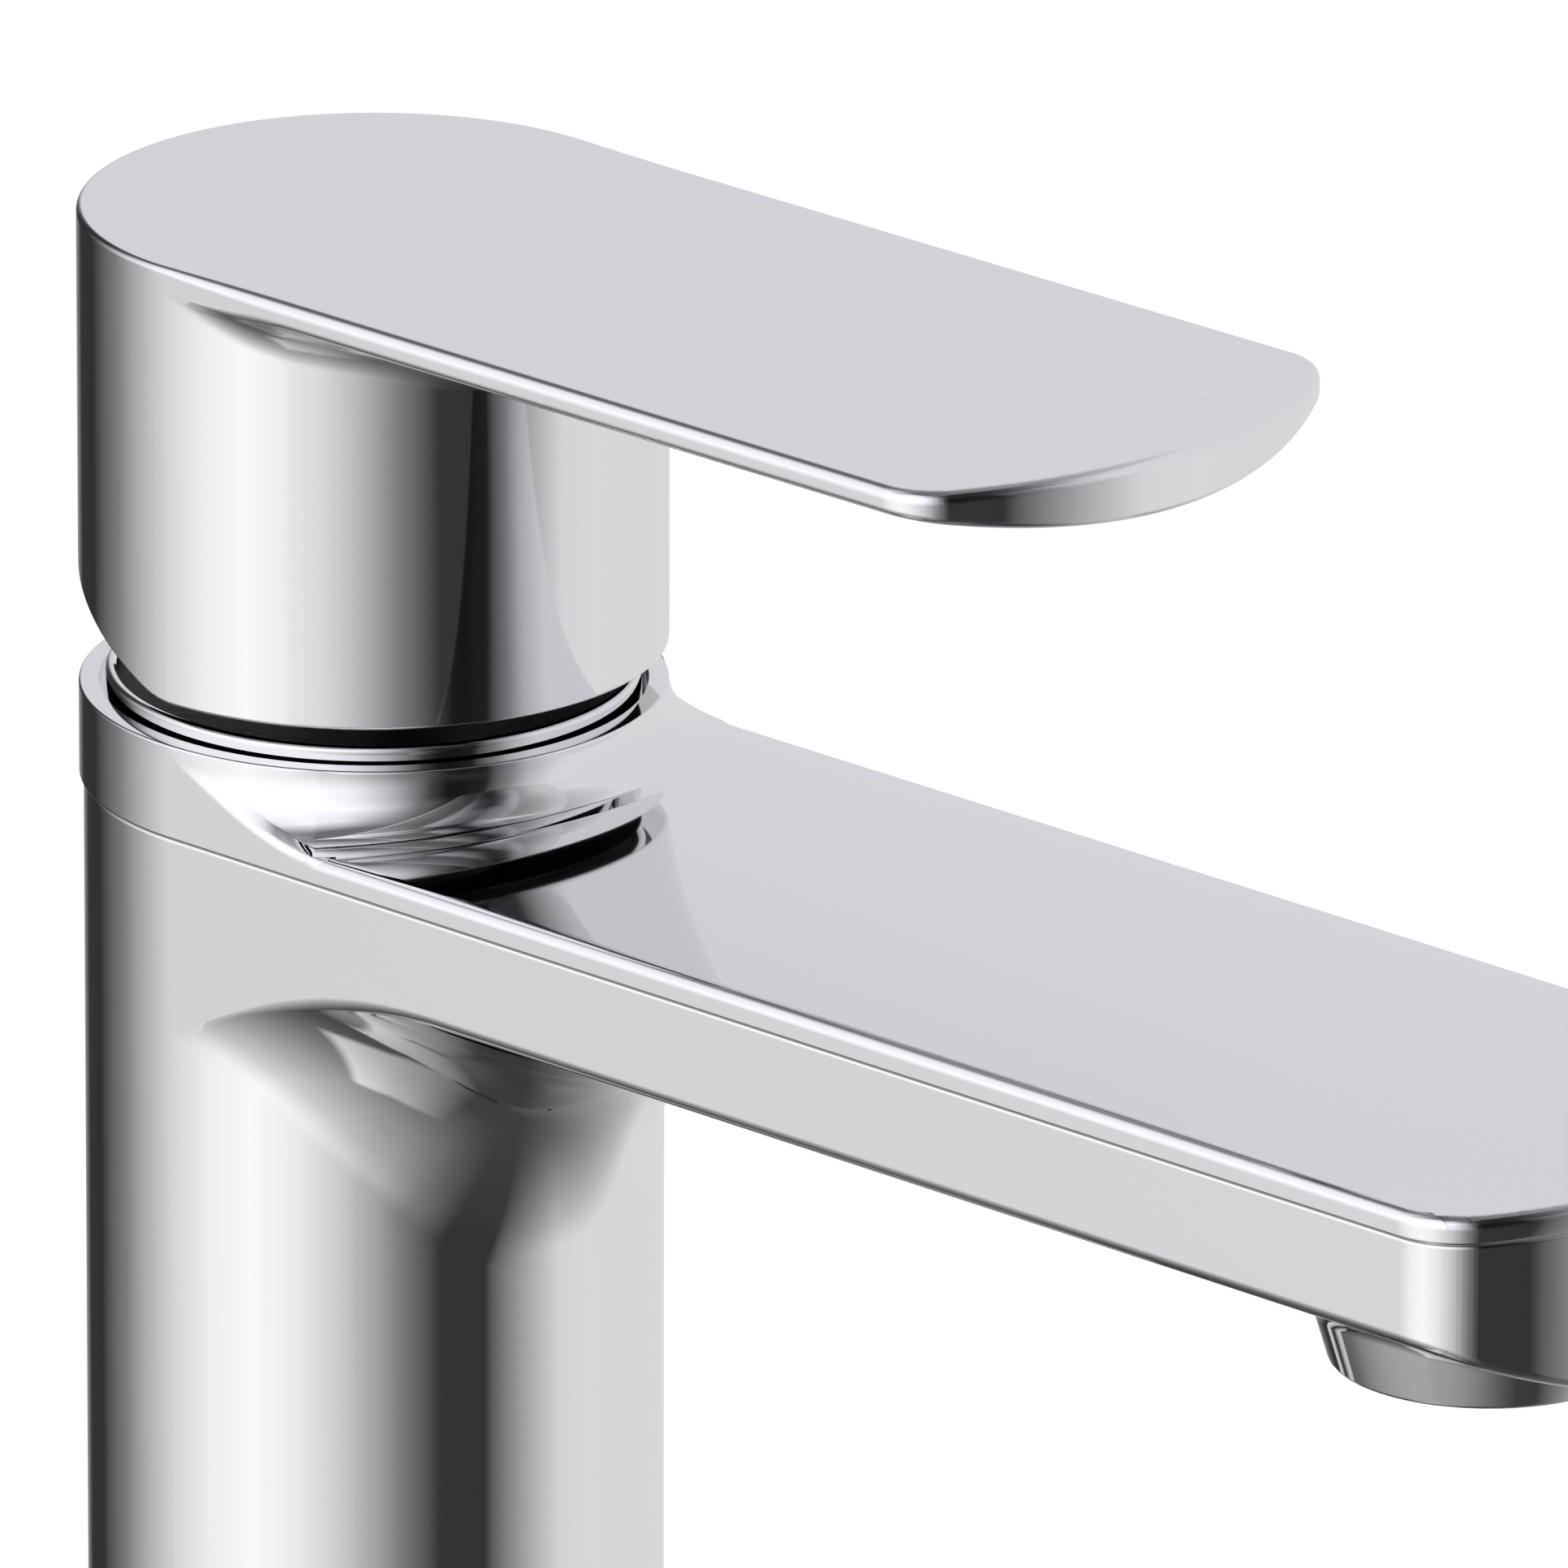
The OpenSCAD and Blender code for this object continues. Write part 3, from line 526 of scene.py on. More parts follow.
def turned_metal(name, code, roughness, feed_mm, depth, axis="Z"):
    """Metal from the lathe: fine rings, drawn two feeds apart because one feed is too fine to show."""
    material, tree, shader = new_material(name)
    shader.inputs["Metallic"].default_value = 1.0
    shader.inputs["Base Color"].default_value = srgb(code)
    place = add_node(tree, "ShaderNodeTexCoord")
    # The wave turns by 20 radians to the unit, so this scale gives one ring every 2 feed_mm
    rings = add_node(tree, "ShaderNodeTexWave",
                     {"wave_type": "BANDS", "bands_direction": axis,
                      "Scale": 2 * pi * 1000 / (20 * 2 * feed_mm), "Distortion": 0.4, "Detail": 2.0},
                     Vector=place.outputs["Object"])
    # Stains of about 6 mm
    stain = add_node(tree, "ShaderNodeTexNoise", {"Scale": 160.0, "Detail": 4.0},
                     Vector=place.outputs["Object"])
    level = rescaled(tree, stain.outputs["Fac"], 0.0, 1.0, roughness - 0.08, roughness + 0.1)
    tree.links.new(level, shader.inputs["Roughness"])
    bump = add_node(tree, "ShaderNodeBump", {"Strength": depth, "Distance": 0.00005},
                    Height=rings.outputs["Fac"])
    tree.links.new(bump.outputs["Normal"], shader.inputs["Normal"])
    return material


def moulded(name, code, roughness, grain_mm, depth, tint, metallic=0.0, ior=1.5):
    """Moulded or sintered stuff: a fine grain on the skin and a change of tone over about 11 mm."""
    spread = 0.06
    material, tree, shader = new_material(name)
    shader.inputs["Metallic"].default_value = metallic
    if not metallic:
        shader.inputs["IOR"].default_value = ior
    place = add_node(tree, "ShaderNodeTexCoord")
    grain = add_node(tree, "ShaderNodeTexNoise", {"Scale": 1000 / grain_mm, "Detail": 3.0},
                     Vector=place.outputs["Object"])
    cloud = add_node(tree, "ShaderNodeTexNoise", {"Scale": 90.0, "Detail": 2.0},
                     Vector=place.outputs["Object"])
    share = rescaled(tree, cloud.outputs["Fac"], 0.35, 0.75, 0.0, 0.14)
    tone = add_node(tree, "ShaderNodeMix",
                    {"data_type": "RGBA", "#6": srgb(code), "#7": srgb(tint)}, Factor=share)
    tree.links.new(tone.outputs[2], shader.inputs["Base Color"])
    level = rescaled(tree, grain.outputs["Fac"], 0.0, 1.0, roughness - spread, roughness + spread)
    tree.links.new(level, shader.inputs["Roughness"])
    bump = add_node(tree, "ShaderNodeBump", {"Strength": depth, "Distance": 0.0001},
                    Height=grain.outputs["Fac"])
    tree.links.new(bump.outputs["Normal"], shader.inputs["Normal"])
    return material


finishes = {
    # Castings: buffed, then bright chromium plate
    "chrome_cast": chrome("bright_chrome_plate_on_buffed_brass"),
    # Turned ring, plated: a little crisper than the castings
    "chrome_turned": chrome("bright_chrome_plate_on_turned_brass", haze=0.02, worn=0.02),
    # Hollows of the castings: dull and grainy, with a dark colour that is painted shade
    "hollow_painted_shade": moulded("dark_dull_metal_painted_shade", "#3b3c3e", 0.55, 0.8, 0.5,
                           tint="#232325", metallic=1.0),
    # Corner under the lever that the buffing wheel only brushes: satin
    "satin_corner": chrome("bright_chrome_plate_on_brushed_corner", haze=0.15, worn=0.05),
    # Free-cutting brass straight from the lathe, with 0.25 mm feed rings
    "brass": turned_metal("free_cutting_brass_turned", "#cfae69", 0.28, 0.25, 0.35),
    # Stainless steel, turned, pressed and drawn: a warm grey with a dull, slightly patchy sheen
    "steel": moulded("stainless_steel_turned", "#bcbab6", 0.34, 0.4, 0.12,
                     tint="#94928e", metallic=1.0),
    # Acetal, moulded: waxy white
    "white_plastic": moulded("acetal_moulded_white", "#e8e8e3", 0.38, 0.5, 0.10,
                             tint="#cfcec6", ior=1.48),
    # Glass-filled polyamide, moulded: grey with a dry skin
    "grey_plastic": moulded("glass_filled_polyamide_moulded_grey", "#7a7f84", 0.52, 0.35, 0.25,
                            tint="#5d6166", ior=1.53),
    # Acetal coloured red, moulded
    "red_plastic": moulded("acetal_moulded_red", "#b4392d", 0.40, 0.5, 0.12,
                           tint="#86261d", ior=1.48),
    # EPDM rubber, moulded: dull black with a dusty bloom
    "rubber": moulded("epdm_rubber_moulded", "#26272a", 0.72, 0.6, 0.35, tint="#4a4b4d", ior=1.52),
    # Alumina, sintered and lapped: ivory or grey, very smooth
    "ceramic": moulded("alumina_lapped_ivory", "#efece3", 0.16, 0.25, 0.04, tint="#dcd8cc", ior=1.76),
    "ceramic_grey": moulded("alumina_lapped_grey", "#8f9296", 0.18, 0.25, 0.04,
                            tint="#787b80", ior=1.76),
}


# ------------ body casting
def body_ball(phi):
    """Radius of the fillet under the spout: it grows from the front to the sides."""
    return 14.1 + 6.7 * (1 - (1 - cos(phi)) ** 1.4)


body_arm = Arm(COLUMN_R, NOSE_Y - 0.33, nose_r=37.2, corner_r=6.2, top=SEAM_Z, side=SIDE_Z,
               belly=BELLY, ball=body_ball, bottom=lambda p: FOOT_Z)
nozzle = Nozzle(body_arm, REACH, NOZZLE_R, NOZZLE_Z, slope=0.3, ball=3.0)
bm, foot = body_arm.build(hole=nozzle)
face(bm, foot)
nozzle.build(bm)
body = new_object("body_casting", bm)


def body_edge(p, angle):
    """Width of the round at an edge's middle p, for faces that meet at the angle."""
    if angle < 12:
        return 0
    if abs(p.z - SEAM_Z) < 0.05:
        return 0.42
    if abs(p.z - FOOT_Z) < 0.05:
        return 0.3
    if abs(p.z - NOZZLE_Z) < 0.05:
        return 0.35 if hypot(p.x, p.y + REACH) > (NOZZLE_BORE + NOZZLE_R) / 2 else 0.15
    if p.z > ROOF_Z - 0.1:
        return 0
    return 0.75 * smooth(8, 48, angle)


round_edges(body, body_edge, segments=4)
# The neck inside the collar; then the cartridge's pocket, its outlet chamber and its nut's thread
combine(body, rod(20.2, SEAM_Z - 1, 105.5), "UNION")
cut(body, [rod(17.6, 68, 98.5), rod(19.2, 72, 96.5), rod(19, 98.4, 107)])
# Hot and cold ways with their hose ports, the stud's hole and the foot seal's groove
cut(body, [rod(3, 0, 70, (7, -4)), rod(3, 0, 70, (-7, -4)),
           rod(5, -1, 14.8, (7, -4), corners=64), rod(5, -1, 14.8, (-7, -4), corners=64),
           rod(4.05, -1, 17.8, (0, 9), corners=64)])
cut(body, [lathe("groove", [(17.9, -1), (20.4, -1), (20.4, 3), (17.9, 3)], segments=128, ring=True)])
polish(body)
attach(body, "mixer")
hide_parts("body")


# ------------ top cover
CROWN = 1.35


def collar_ball(phi):
    """The fillet's radius: in front it leaves the land's edge upright, at the sides it is lower."""
    def under_land(r):
        reach = (CAP_R + r) * sin(phi)
        return sqrt((cover_arm.belly_r + r) ** 2 - reach ** 2) - cover_arm.axis_z < LAND_Z

    return halve(1.0, 5.3, under_land)


# The crowned top and its fillet are those of an arm turned upside down
cover_arm = Arm(CAP_R, NOSE_Y, nose_r=37.5, corner_r=6.5, top=0, side=-TOP_Z, belly=CROWN,
                ball=collar_ball, bottom=None)


def build_cover(rows=24, steps=48, rear=96, fade=40.0):
    """Thin plate on the spout: a collar round the cartridge and a top that is crowned across."""
    arm, half = cover_arm, CAP_R
    bm = bmesh.new()
    front_rows = [1.0, 0.74, 0.53, 0.35, 0.22, 0.11]    # shares of fade, closer near the edge

    def crowned(x, y, edge_y):
        """Point of the top; the crown dies out towards the nose's edge at edge_y."""
        g = 1 - (1 - min(1, (y - edge_y) / fade)) ** 2
        return Vector((x, y, TOP_Z + (-arm.belly_z(x) - TOP_Z) * g))

    phis = [arm.phi_at(x) for x in arm.stations]
    last = phis[-1]
    tips = [last + (pi / 2 - last) * (1 - (1 - i / steps) ** 1.5) for i in range(1, steps + 1)]
    grid = []
    for phi in phis + tips:
        end = 1.0 if phi <= last + 1e-12 else (arm.t_at(phi) if phi < pi / 2 - 1e-9 else 0.0)
        arc = (arm.scoop(phi, 0) - arm.scoop(phi, end)).length
        line = [arm.scoop(phi, end * f) for f in steps_to_edge(arc, rows, 1.3)]
        line = [Vector((p.x, p.y, -p.z)) for p in line]
        if LAND_Z - line[0].z < 0.02:
            line[0].z = LAND_Z
        grid.append([Vector((line[0].x, line[0].y, LAND_Z))] + line)
    for line in grid[len(phis) - 1:]:
        line[-1].x = half
    edge_y = {x: next(y for nx, y in arm.nose if abs(nx - x) < 1e-4) for x in arm.stations}
    for s in (1, -1):
        side = [[Vector((s * p.x, p.y, p.z)) for p in line] for line in grid]
        for a, b in zip(side, side[1:]):
            for k in range(rows + 1):
                face(bm, [a[k], b[k], b[k + 1], a[k + 1]])
        columns = []
        for x, line in zip(arm.stations, side):
            columns.append([line[-1]] + [crowned(s * x, edge_y[x] + fade * f, edge_y[x])
                                         for f in front_rows])
        for j in range(len(arm.stations) - 1):
            x0, x1 = arm.stations[j], arm.stations[j + 1]
            here, there = columns[j], columns[j + 1]
            for k in range(len(front_rows)):
                face(bm, [here[k], there[k], there[k + 1], here[k + 1]])
            face(bm, [here[-1], there[-1]] + [Vector((s * x, y, TOP_Z)) for x, y in arm.nose
                                          if x0 - 1e-5 <= x <= x1 + 1e-5])
        nose = [(s * x, y) for x, y in arm.nose]
        face(bm, [Vector((s * half, 0, SEAM_Z))] + [line[-1] for line in side[len(phis) - 1:]][::-1]
             + columns[-1][1:] + [Vector((*nose[0], TOP_Z)), Vector((*nose[0], SEAM_Z))])
        for p, q in zip(nose, nose[1:]):
            face(bm, [(*p, SEAM_Z), (*q, SEAM_Z), (*q, TOP_Z), (*p, TOP_Z)])
        for i in range(rear // 2):
            a, b = pi * i / rear, pi * (i + 1) / rear
            p, q = (s * half * cos(a), half * sin(a)), (s * half * cos(b), half * sin(b))
            # The first wall face also takes the tip of the fillet
            face(bm, [(*p, SEAM_Z), (*q, SEAM_Z), (*q, LAND_Z), (*p, LAND_Z)]
                 + ([side[-1][-1]] if i == 0 else []))
    back = [(half * cos(pi * i / rear), half * sin(pi * i / rear)) for i in range(rear + 1)]
    outline = back + [(-x, y) for x, y in arm.nose] + arm.nose[::-1][1:]
    face(bm, [(x, y, SEAM_Z) for x, y in outline])
    land = [line[0] for line in grid]
    face(bm, [(x, y, LAND_Z) for x, y in back] + [(-p.x, p.y, LAND_Z) for p in land[::-1][1:]]
         + [(p.x, p.y, LAND_Z) for p in land[1:-1]])
    return new_object("spout_cover", bm)


cover = build_cover()


def cover_edge(p, angle):
    """Width of the round at an edge's middle p: a constant radius of 0.95 round the top."""
    if hypot(p.x, p.y) < COLLAR_BORE_R + 0.2 or angle < 5:
        return 0
    if abs(p.z - SEAM_Z) < 0.05:
        return 0.28
    if abs(p.z - LAND_Z) < 0.05:
        return 0.2
    return 0.95 * tan(radians(min(angle, 90)) / 2)


# Bore for the neck, a ledge, and the recess for the cap ring
cut(cover, [rod(COLLAR_BORE_R, SEAM_Z - 1, 105.5), rod(19.2, 105, 107),
            rod(COLLAR_BORE_R, 106.3, 110)])
round_edges(cover, cover_edge, segments=6)
polish(cover)
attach(cover, "mixer")
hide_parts("top_cover")


# ------------ lever
CUT = tan(radians(22))      # the drum is cut back by the angle that the lever lifts


def drum_bottom(p):
    """Lower edge of the drum: level in front, rising behind, with a short bend between."""
    y = p.y - 1
    return DRUM_Z + CUT * (0 if y < -1.5 else (y if y > 1.5 else (y + 1.5) ** 2 / 6))


lever_arm = Arm(CAP_R, LEVER_LEN, nose_r=39, corner_r=5.3, top=LEVER_Z, side=LEVER_Z - PLATE_SIDE,
                belly=PLATE_BELLY, ball=lambda phi: 4.0, bottom=drum_bottom, on_edge=True,
                splits=(-2, -4, -6, -8, -10, -12, -14))
bm, foot = lever_arm.build(rows=18)
inner_r, ceiling = CAP_R - 2.2, LEVER_Z - 7.4      # the drum's hollow
DRUM_TOP = LEVER_Z - 9                              # below the fillet under the plate
rim = [Vector((p.x, p.y, 0)) * inner_r / CAP_R for p in foot]
for q in rim:
    q.z = drum_bottom(q)
roof = [Vector((q.x, q.y, ceiling)) for q in rim]
for i in range(len(foot)):
    j = (i + 1) % len(foot)
    face(bm, (foot[i], foot[j], rim[j], rim[i]))
    face(bm, (rim[i], rim[j], roof[j], roof[i]))
face(bm, roof)
lever = new_object("lever_casting", bm)


def lever_edge(p, angle):
    """Width of the round at an edge's middle p, for faces that meet at the angle."""
    if angle < 12:
        return 0
    if abs(p.z - LEVER_Z) < 0.05:
        return 0.5 + 0.45 * smooth(5, -13, p.y)
    if p.z < DRUM_TOP and hypot(p.x, p.y) < CAP_R + 0.3:
        return 0.3 if hypot(p.x, p.y) > CAP_R - 1 else 0.15
    if abs(p.z - ceiling) < 0.05:
        return 0
    return 0.55 * smooth(12, 60, angle)


round_edges(lever, lever_edge, segments=6)
# Hub with a square socket for the stem; behind it the grub screw's hole, wider where the button sits
combine(lever, rod(8.5, 116, LEVER_Z - 5), "UNION")
bpy.ops.object.select_all(action="DESELECT")
bpy.ops.mesh.primitive_cube_add(size=1)
socket = bpy.context.object
socket.data.transform(Matrix.Translation(Vector((0, 0, 123.2)) * MM)
                      @ Matrix.Diagonal((8.1 * MM, 8.1 * MM, 16.4 * MM, 1)))
GRUB_Z = 126
cut(lever, [socket, rod(2.5, 0, 19, (0, GRUB_Z), around="y", corners=48),
            rod(3.2, 11.5, 23, (0, GRUB_Z), around="y", corners=64)])
polish(lever)
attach(lever, "lever")
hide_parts("handle")

# The hollow under the lever is painted dark as shade; the underside of the plate is satin
for slot in ("chrome_cast", "hollow_painted_shade", "satin_corner"):
    lever.data.materials.append(finishes[slot])
for polygon in lever.data.polygons:
    p = polygon.center / MM
    if hypot(p.x, p.y) < inner_r + 0.1 and p.z < ceiling + 0.1:
        polygon.material_index = 1
    elif p.z > DRUM_TOP and polygon.normal.z < -0.03:
        polygon.material_index = 2


# ------------ cap ring
RIM_R, ROUND = 19.2, 0.45
DISH_Z, UNDER_Z, RING_FOOT_Z = DOME_Z - 1.0, DOME_Z - 1.8, 106.3
profile = [(DOME_R, RING_FOOT_Z)]
profile += [(DOME_R - ROUND * (1 - cos(a * pi / 12)), DOME_Z - ROUND + ROUND * sin(a * pi / 12))
            for a in range(7)]
profile += [(RIM_R + 0.2, DOME_Z), (RIM_R, DOME_Z - 0.2), (RIM_R, DISH_Z),
            (13.2, DISH_Z), (13.0, DISH_Z - 0.2), (13.0, UNDER_Z),
            (15.05, UNDER_Z), (15.05, 105.5), (16.3, 105.5), (16.3, UNDER_Z),
            (18.8, UNDER_Z), (18.8, RING_FOOT_Z)]
dome = lathe("cap_ring", profile, segments=192, ring=True)
polish(dome)
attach(dome, "mixer")
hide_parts("dome_ring")


# ------------ deck clamp
PITCH, THREAD_R, ROOT_R = 1.25, 4.0, 3.35
STUD_Y, STUD_LOW, STUD_HIGH, SPARE = 9.0, -62.0, 16.8, 2.0      # spare: thread that is cut off
NUT_LOW, NUT_HIGH, ACROSS = -32.0, -25.52, 13.0     # 0.02 of play under the washer

# M8 stud: one turn of the thread's outline, screwed along the axis and cut level at both ends
outline = [(THREAD_R, 0.0), (THREAD_R, 0.12), (ROOT_R, 0.5), (ROOT_R, 0.65), (THREAD_R, 1.03),
           (THREAD_R, PITCH)]
mesh = bpy.data.meshes.new("threaded_stud")
mesh.from_pydata([(r * MM, 0, (STUD_LOW - SPARE + z) * MM) for r, z in outline],
                 [(i, i + 1) for i in range(len(outline) - 1)], [])
stud = bpy.data.objects.new("threaded_stud", mesh)
bpy.context.collection.objects.link(stud)
apply(stud, "SCREW", axis="Z", angle=2 * pi, screw_offset=PITCH * MM,
      iterations=ceil((STUD_HIGH - STUD_LOW + 2 * SPARE) / PITCH), steps=32, render_steps=32)
bpy.ops.object.mode_set(mode="EDIT")
bpy.ops.mesh.select_all(action="SELECT")
bpy.ops.mesh.remove_doubles(threshold=1e-6)
for level, side in ((STUD_LOW, -1), (STUD_HIGH, 1)):
    bpy.ops.mesh.select_all(action="SELECT")
    bpy.ops.mesh.bisect(plane_co=(0, 0, level * MM), plane_no=(0, 0, side), use_fill=True,
                        clear_outer=True, threshold=1e-7)
bpy.ops.mesh.select_all(action="SELECT")
bpy.ops.mesh.normals_make_consistent(inside=False)
bpy.ops.transform.translate(value=(0, STUD_Y * MM, 0))
bpy.ops.object.mode_set(mode="OBJECT")
polish(stud, angle=25)
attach(stud, "mixer")
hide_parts("mounting_stud")

# Hexagon nut: a six-sided bar, its corners turned off at 30 degrees, bored and countersunk
bpy.ops.object.select_all(action="DESELECT")
bpy.ops.mesh.primitive_cylinder_add(vertices=6, radius=ACROSS / sqrt(3) * MM,
                                    depth=(NUT_HIGH - NUT_LOW) * MM,
                                    location=(0, STUD_Y * MM, (NUT_LOW + NUT_HIGH) / 2 * MM),
                                    rotation=(0, 0, radians(30)))
nut = bpy.context.object
nut.name = nut.data.name = "hexagon_nut"
bpy.ops.object.transform_apply(location=True, rotation=True)
half_nut, corner = ACROSS / 2 - 0.1, ACROSS / sqrt(3) + 0.1
chamfer = (corner - half_nut) * tan(radians(30))
blank = lathe("blank", [(half_nut, NUT_LOW), (corner, NUT_LOW + chamfer),
                        (corner, NUT_HIGH - chamfer), (half_nut, NUT_HIGH)],
              centre=(0, STUD_Y), segments=128)
combine(nut, blank, "INTERSECT")
cut(nut, [lathe("bore", [(4.75, NUT_LOW - 0.2), (4.06, NUT_LOW + 0.6), (4.06, NUT_HIGH - 0.6),
                         (4.75, NUT_HIGH + 0.2)], centre=(0, STUD_Y), segments=96)])
apply(nut, "BEVEL", limit_method="ANGLE", angle_limit=radians(25), width=0.12 * MM, segments=2)
polish(nut, angle=25)
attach(nut, "nut")
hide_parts("clamp_nut")

# Pressed horseshoe with the burr taken off, and the moulded pad between it and the deck
washer = softened("horseshoe_washer", "clamp_washer", 0.35)
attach(washer, "clamp")
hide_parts("clamp_washer")
pad = softened("horseshoe_pad", "rubber_pad", 0.7)
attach(pad, "clamp")
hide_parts("rubber_pad")


# ------------ small trim
seal = softened("foot_ring", "foot_seal", 0.3)
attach(seal, "mixer")
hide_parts("foot_seal")
plug = softened("index_button", "index_plug", 0.35)
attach(plug, "lever")
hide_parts("index_plug")
shell = softened("aerator_shell", "aerator_body", 0.15, segments=2)
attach(shell, "mixer")
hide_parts("aerator_body")

# Aerator screen: wire netting in a pressed rim; its wires are drawn coarser, to show
low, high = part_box("aerator_mesh")
screen_r = (high[0] - low[0]) / 2 / MM
bpy.ops.object.select_all(action="DESELECT")
bpy.ops.mesh.primitive_grid_add(x_subdivisions=16, y_subdivisions=16, size=2 * screen_r * MM,
                                location=(0, -REACH * MM, (low[2] + high[2]) / 2),
                                rotation=(0, 0, radians(45)))
screen = bpy.context.object
screen.name = screen.data.name = "aerator_screen"
bpy.ops.object.transform_apply(location=True, rotation=True)
bpy.ops.object.mode_set(mode="EDIT")
bpy.ops.mesh.select_mode(type="VERT")
bpy.ops.mesh.select_all(action="DESELECT")
bpy.ops.object.mode_set(mode="OBJECT")
for vertex in screen.data.vertices:
    vertex.select = hypot(vertex.co.x, vertex.co.y + REACH * MM) > (screen_r - 0.3) * MM
bpy.ops.object.mode_set(mode="EDIT")
bpy.ops.mesh.delete(type="VERT")
bpy.ops.mesh.select_all(action="SELECT")
bpy.ops.mesh.delete_loose(use_verts=True, use_edges=True, use_faces=False)
bpy.ops.object.mode_set(mode="OBJECT")
apply(screen, "WIREFRAME", thickness=0.34 * MM, use_even_offset=True, use_boundary=True)
rim_low, rim_high = low[2] / MM + 0.05, high[2] / MM - 0.05
rim = lathe("screen_rim", [(screen_r - 0.9, rim_low + 0.15), (screen_r - 0.75, rim_low),
                           (screen_r - 0.15, rim_low), (screen_r, rim_low + 0.15),
                           (screen_r, rim_high), (screen_r - 0.9, rim_high)],
            centre=(0, -REACH), ring=True)
only(screen)
rim.select_set(True)
bpy.ops.object.join()
polish(screen, angle=30)
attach(screen, "mixer")
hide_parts("aerator_mesh")


# ------------ finishes on the pieces
# The dish and the inside of the cap ring, within its rim, are painted dark as shade
dome.data.materials.append(finishes["chrome_turned"])
dome.data.materials.append(finishes["hollow_painted_shade"])
for polygon in dome.data.polygons:
    p = polygon.center / MM
    if hypot(p.x, p.y) < RIM_R + 0.02:
        polygon.material_index = 1
# The lever and the cap ring have theirs by now
one_finish = {body: "chrome_cast", cover: "chrome_cast", stud: "steel", nut: "brass",
              washer: "steel", pad: "rubber", seal: "rubber", plug: "grey_plastic",
              shell: "grey_plastic", screen: "steel"}
for piece, slot in one_finish.items():
    piece.data.materials.clear()
    piece.data.materials.append(finishes[slot])
for row in frame["record"]["subparts"]:
    node = frame["nodes"].get(row["node"])
    if node is not None and node.name in bpy.data.objects:
        if not node.data.materials:
            node.data.materials.append(None)
        for own in node.material_slots:
            own.material = finishes[row["material_slot"]]


# ------------ studio
# What the chrome mirrors: a bright soft box on the left, a black flag on the right of the camera and
# another far behind on the left, pale board behind on the right, a dim ceiling, and a dark table
# with a white card on it.
world = bpy.data.worlds.new("studio")
bpy.context.scene.world = world
world.use_nodes = True
tree = world.node_tree
tree.nodes.clear()
place = add_node(tree, "ShaderNodeTexCoord")
to_camera = add_node(tree, "ShaderNodeVectorRotate", {"rotation_type": "Z_AXIS", "Angle": -TURN},
                     Vector=place.outputs["Generated"])
axes = add_node(tree, "ShaderNodeSeparateXYZ", None, Vector=to_camera.outputs["Vector"])
toward = calc(tree, "MULTIPLY", axes.outputs["Y"], -1.0)
turn_share = rescaled(tree, calc(tree, "ARCTAN2", axes.outputs["X"], toward), -pi, pi)
height = calc(tree, "MULTIPLY", calc(tree, "ARCSINE", axes.outputs["Z"]), 180 / pi)     # degrees

# Brightness of the ceiling, of the table at the foot, and what the card adds
CEILING, TABLE_FOOT, CARD = 0.19, 0.06, 0.55
# Brightness round the compass, in degrees from the camera with right positive, at four heights
rings = {
    "low": ((-180, .62), (-172, .32), (-158, .04), (-140, .035), (-118, .24), (-88, .80),
            (-68, 1.06), (-50, 1.17), (-32, 1.04), (-10, .68), (10, .25), (26, .042), (46, .04),
            (46.6, .09), (60, .38), (80, .81), (96, .84), (150, .80), (180, .72)),
    "middle": ((-180, .79), (-170, .74), (-162, .20), (-154, .045), (-138, .035), (-130, .12),
               (-120, .48), (-110, .82), (-98, 1.06), (-84, 1.25), (-40, 1.30), (-20, 1.27),
               (-6, 1.02), (6, .60), (14, .30), (22, .06), (28, .012), (34, .010), (44, .02),
               (46.6, .10), (54, .26), (62, .58), (74, .84), (180, .79)),
    "upper": ((-180, .60), (-162, .20), (-148, .10), (-138, .12), (-126, .42), (-114, .95),
              (-90, 1.22), (-16, 1.25), (-6, 1.12), (6, .68), (18, .20), (30, .03), (42, .02),
              (54, .05), (66, .27), (78, .70), (90, .83), (160, .83), (174, .70), (180, .60)),
    "high": ((-180, .25), (-140, .30), (-114, .75), (-90, .50), (-66, .95), (-46, 1.18),
             (-24, 1.02), (-12, .72), (0, .48), (12, .25), (26, .08), (48, .015), (66, .015),
             (78, .08), (90, .22), (114, .40), (132, .42), (150, .28), (180, .25)),
    # How many degrees further down the light reaches on each side, of 25
    "reach": ((-180, .45), (-130, .10), (-100, 0), (-20, 0), (60, .08), (100, .24), (130, .40),
              (152, .50), (180, .45)),
}
around = {}
for name, stops in rings.items():
    shares = [((angle + 180) / 360, level) for angle, level in stops]
    ramp = add_node(tree, "ShaderNodeValToRGB", {"stops": shares}, Fac=turn_share)
    around[name] = ramp.outputs["Color"]
reach_share = rescaled(tree, calc(tree, "MULTIPLY_ADD", around["reach"], 25.0, height), -90.0, 10.0)
# The table gets darker towards the foot
table = ((-80, 0.0), (-69, 0.09), (-60, 0.21), (-55, 0.29), (-46, 0.44), (-36, 0.66), (-31, 0.84),
         (-26, 1.0))
falling_off = add_node(tree, "ShaderNodeValToRGB",
                       {"stops": [((angle + 90) / 100, level) for angle, level in table]},
                       Fac=reach_share).outputs["Color"]
level = add_node(tree, "ShaderNodeMix", {"data_type": "FLOAT", "#2": TABLE_FOOT},
                 **{"0": falling_off, "3": around["low"]}).outputs[0]
# Between these heights each ring takes over from the one below, and the ceiling from the last
for ring, start, end in (("middle", -12.0, 10.0), ("upper", 30.0, 42.0), ("high", 44.0, 62.0),
                         (None, 62.0, 76.0)):
    blend = add_node(tree, "ShaderNodeMix", {"data_type": "FLOAT", "#3": CEILING},
                     **{"0": rescaled(tree, height, start, end), "2": level})
    if ring:
        tree.links.new(around[ring], blend.inputs[3])
    level = blend.outputs[0]

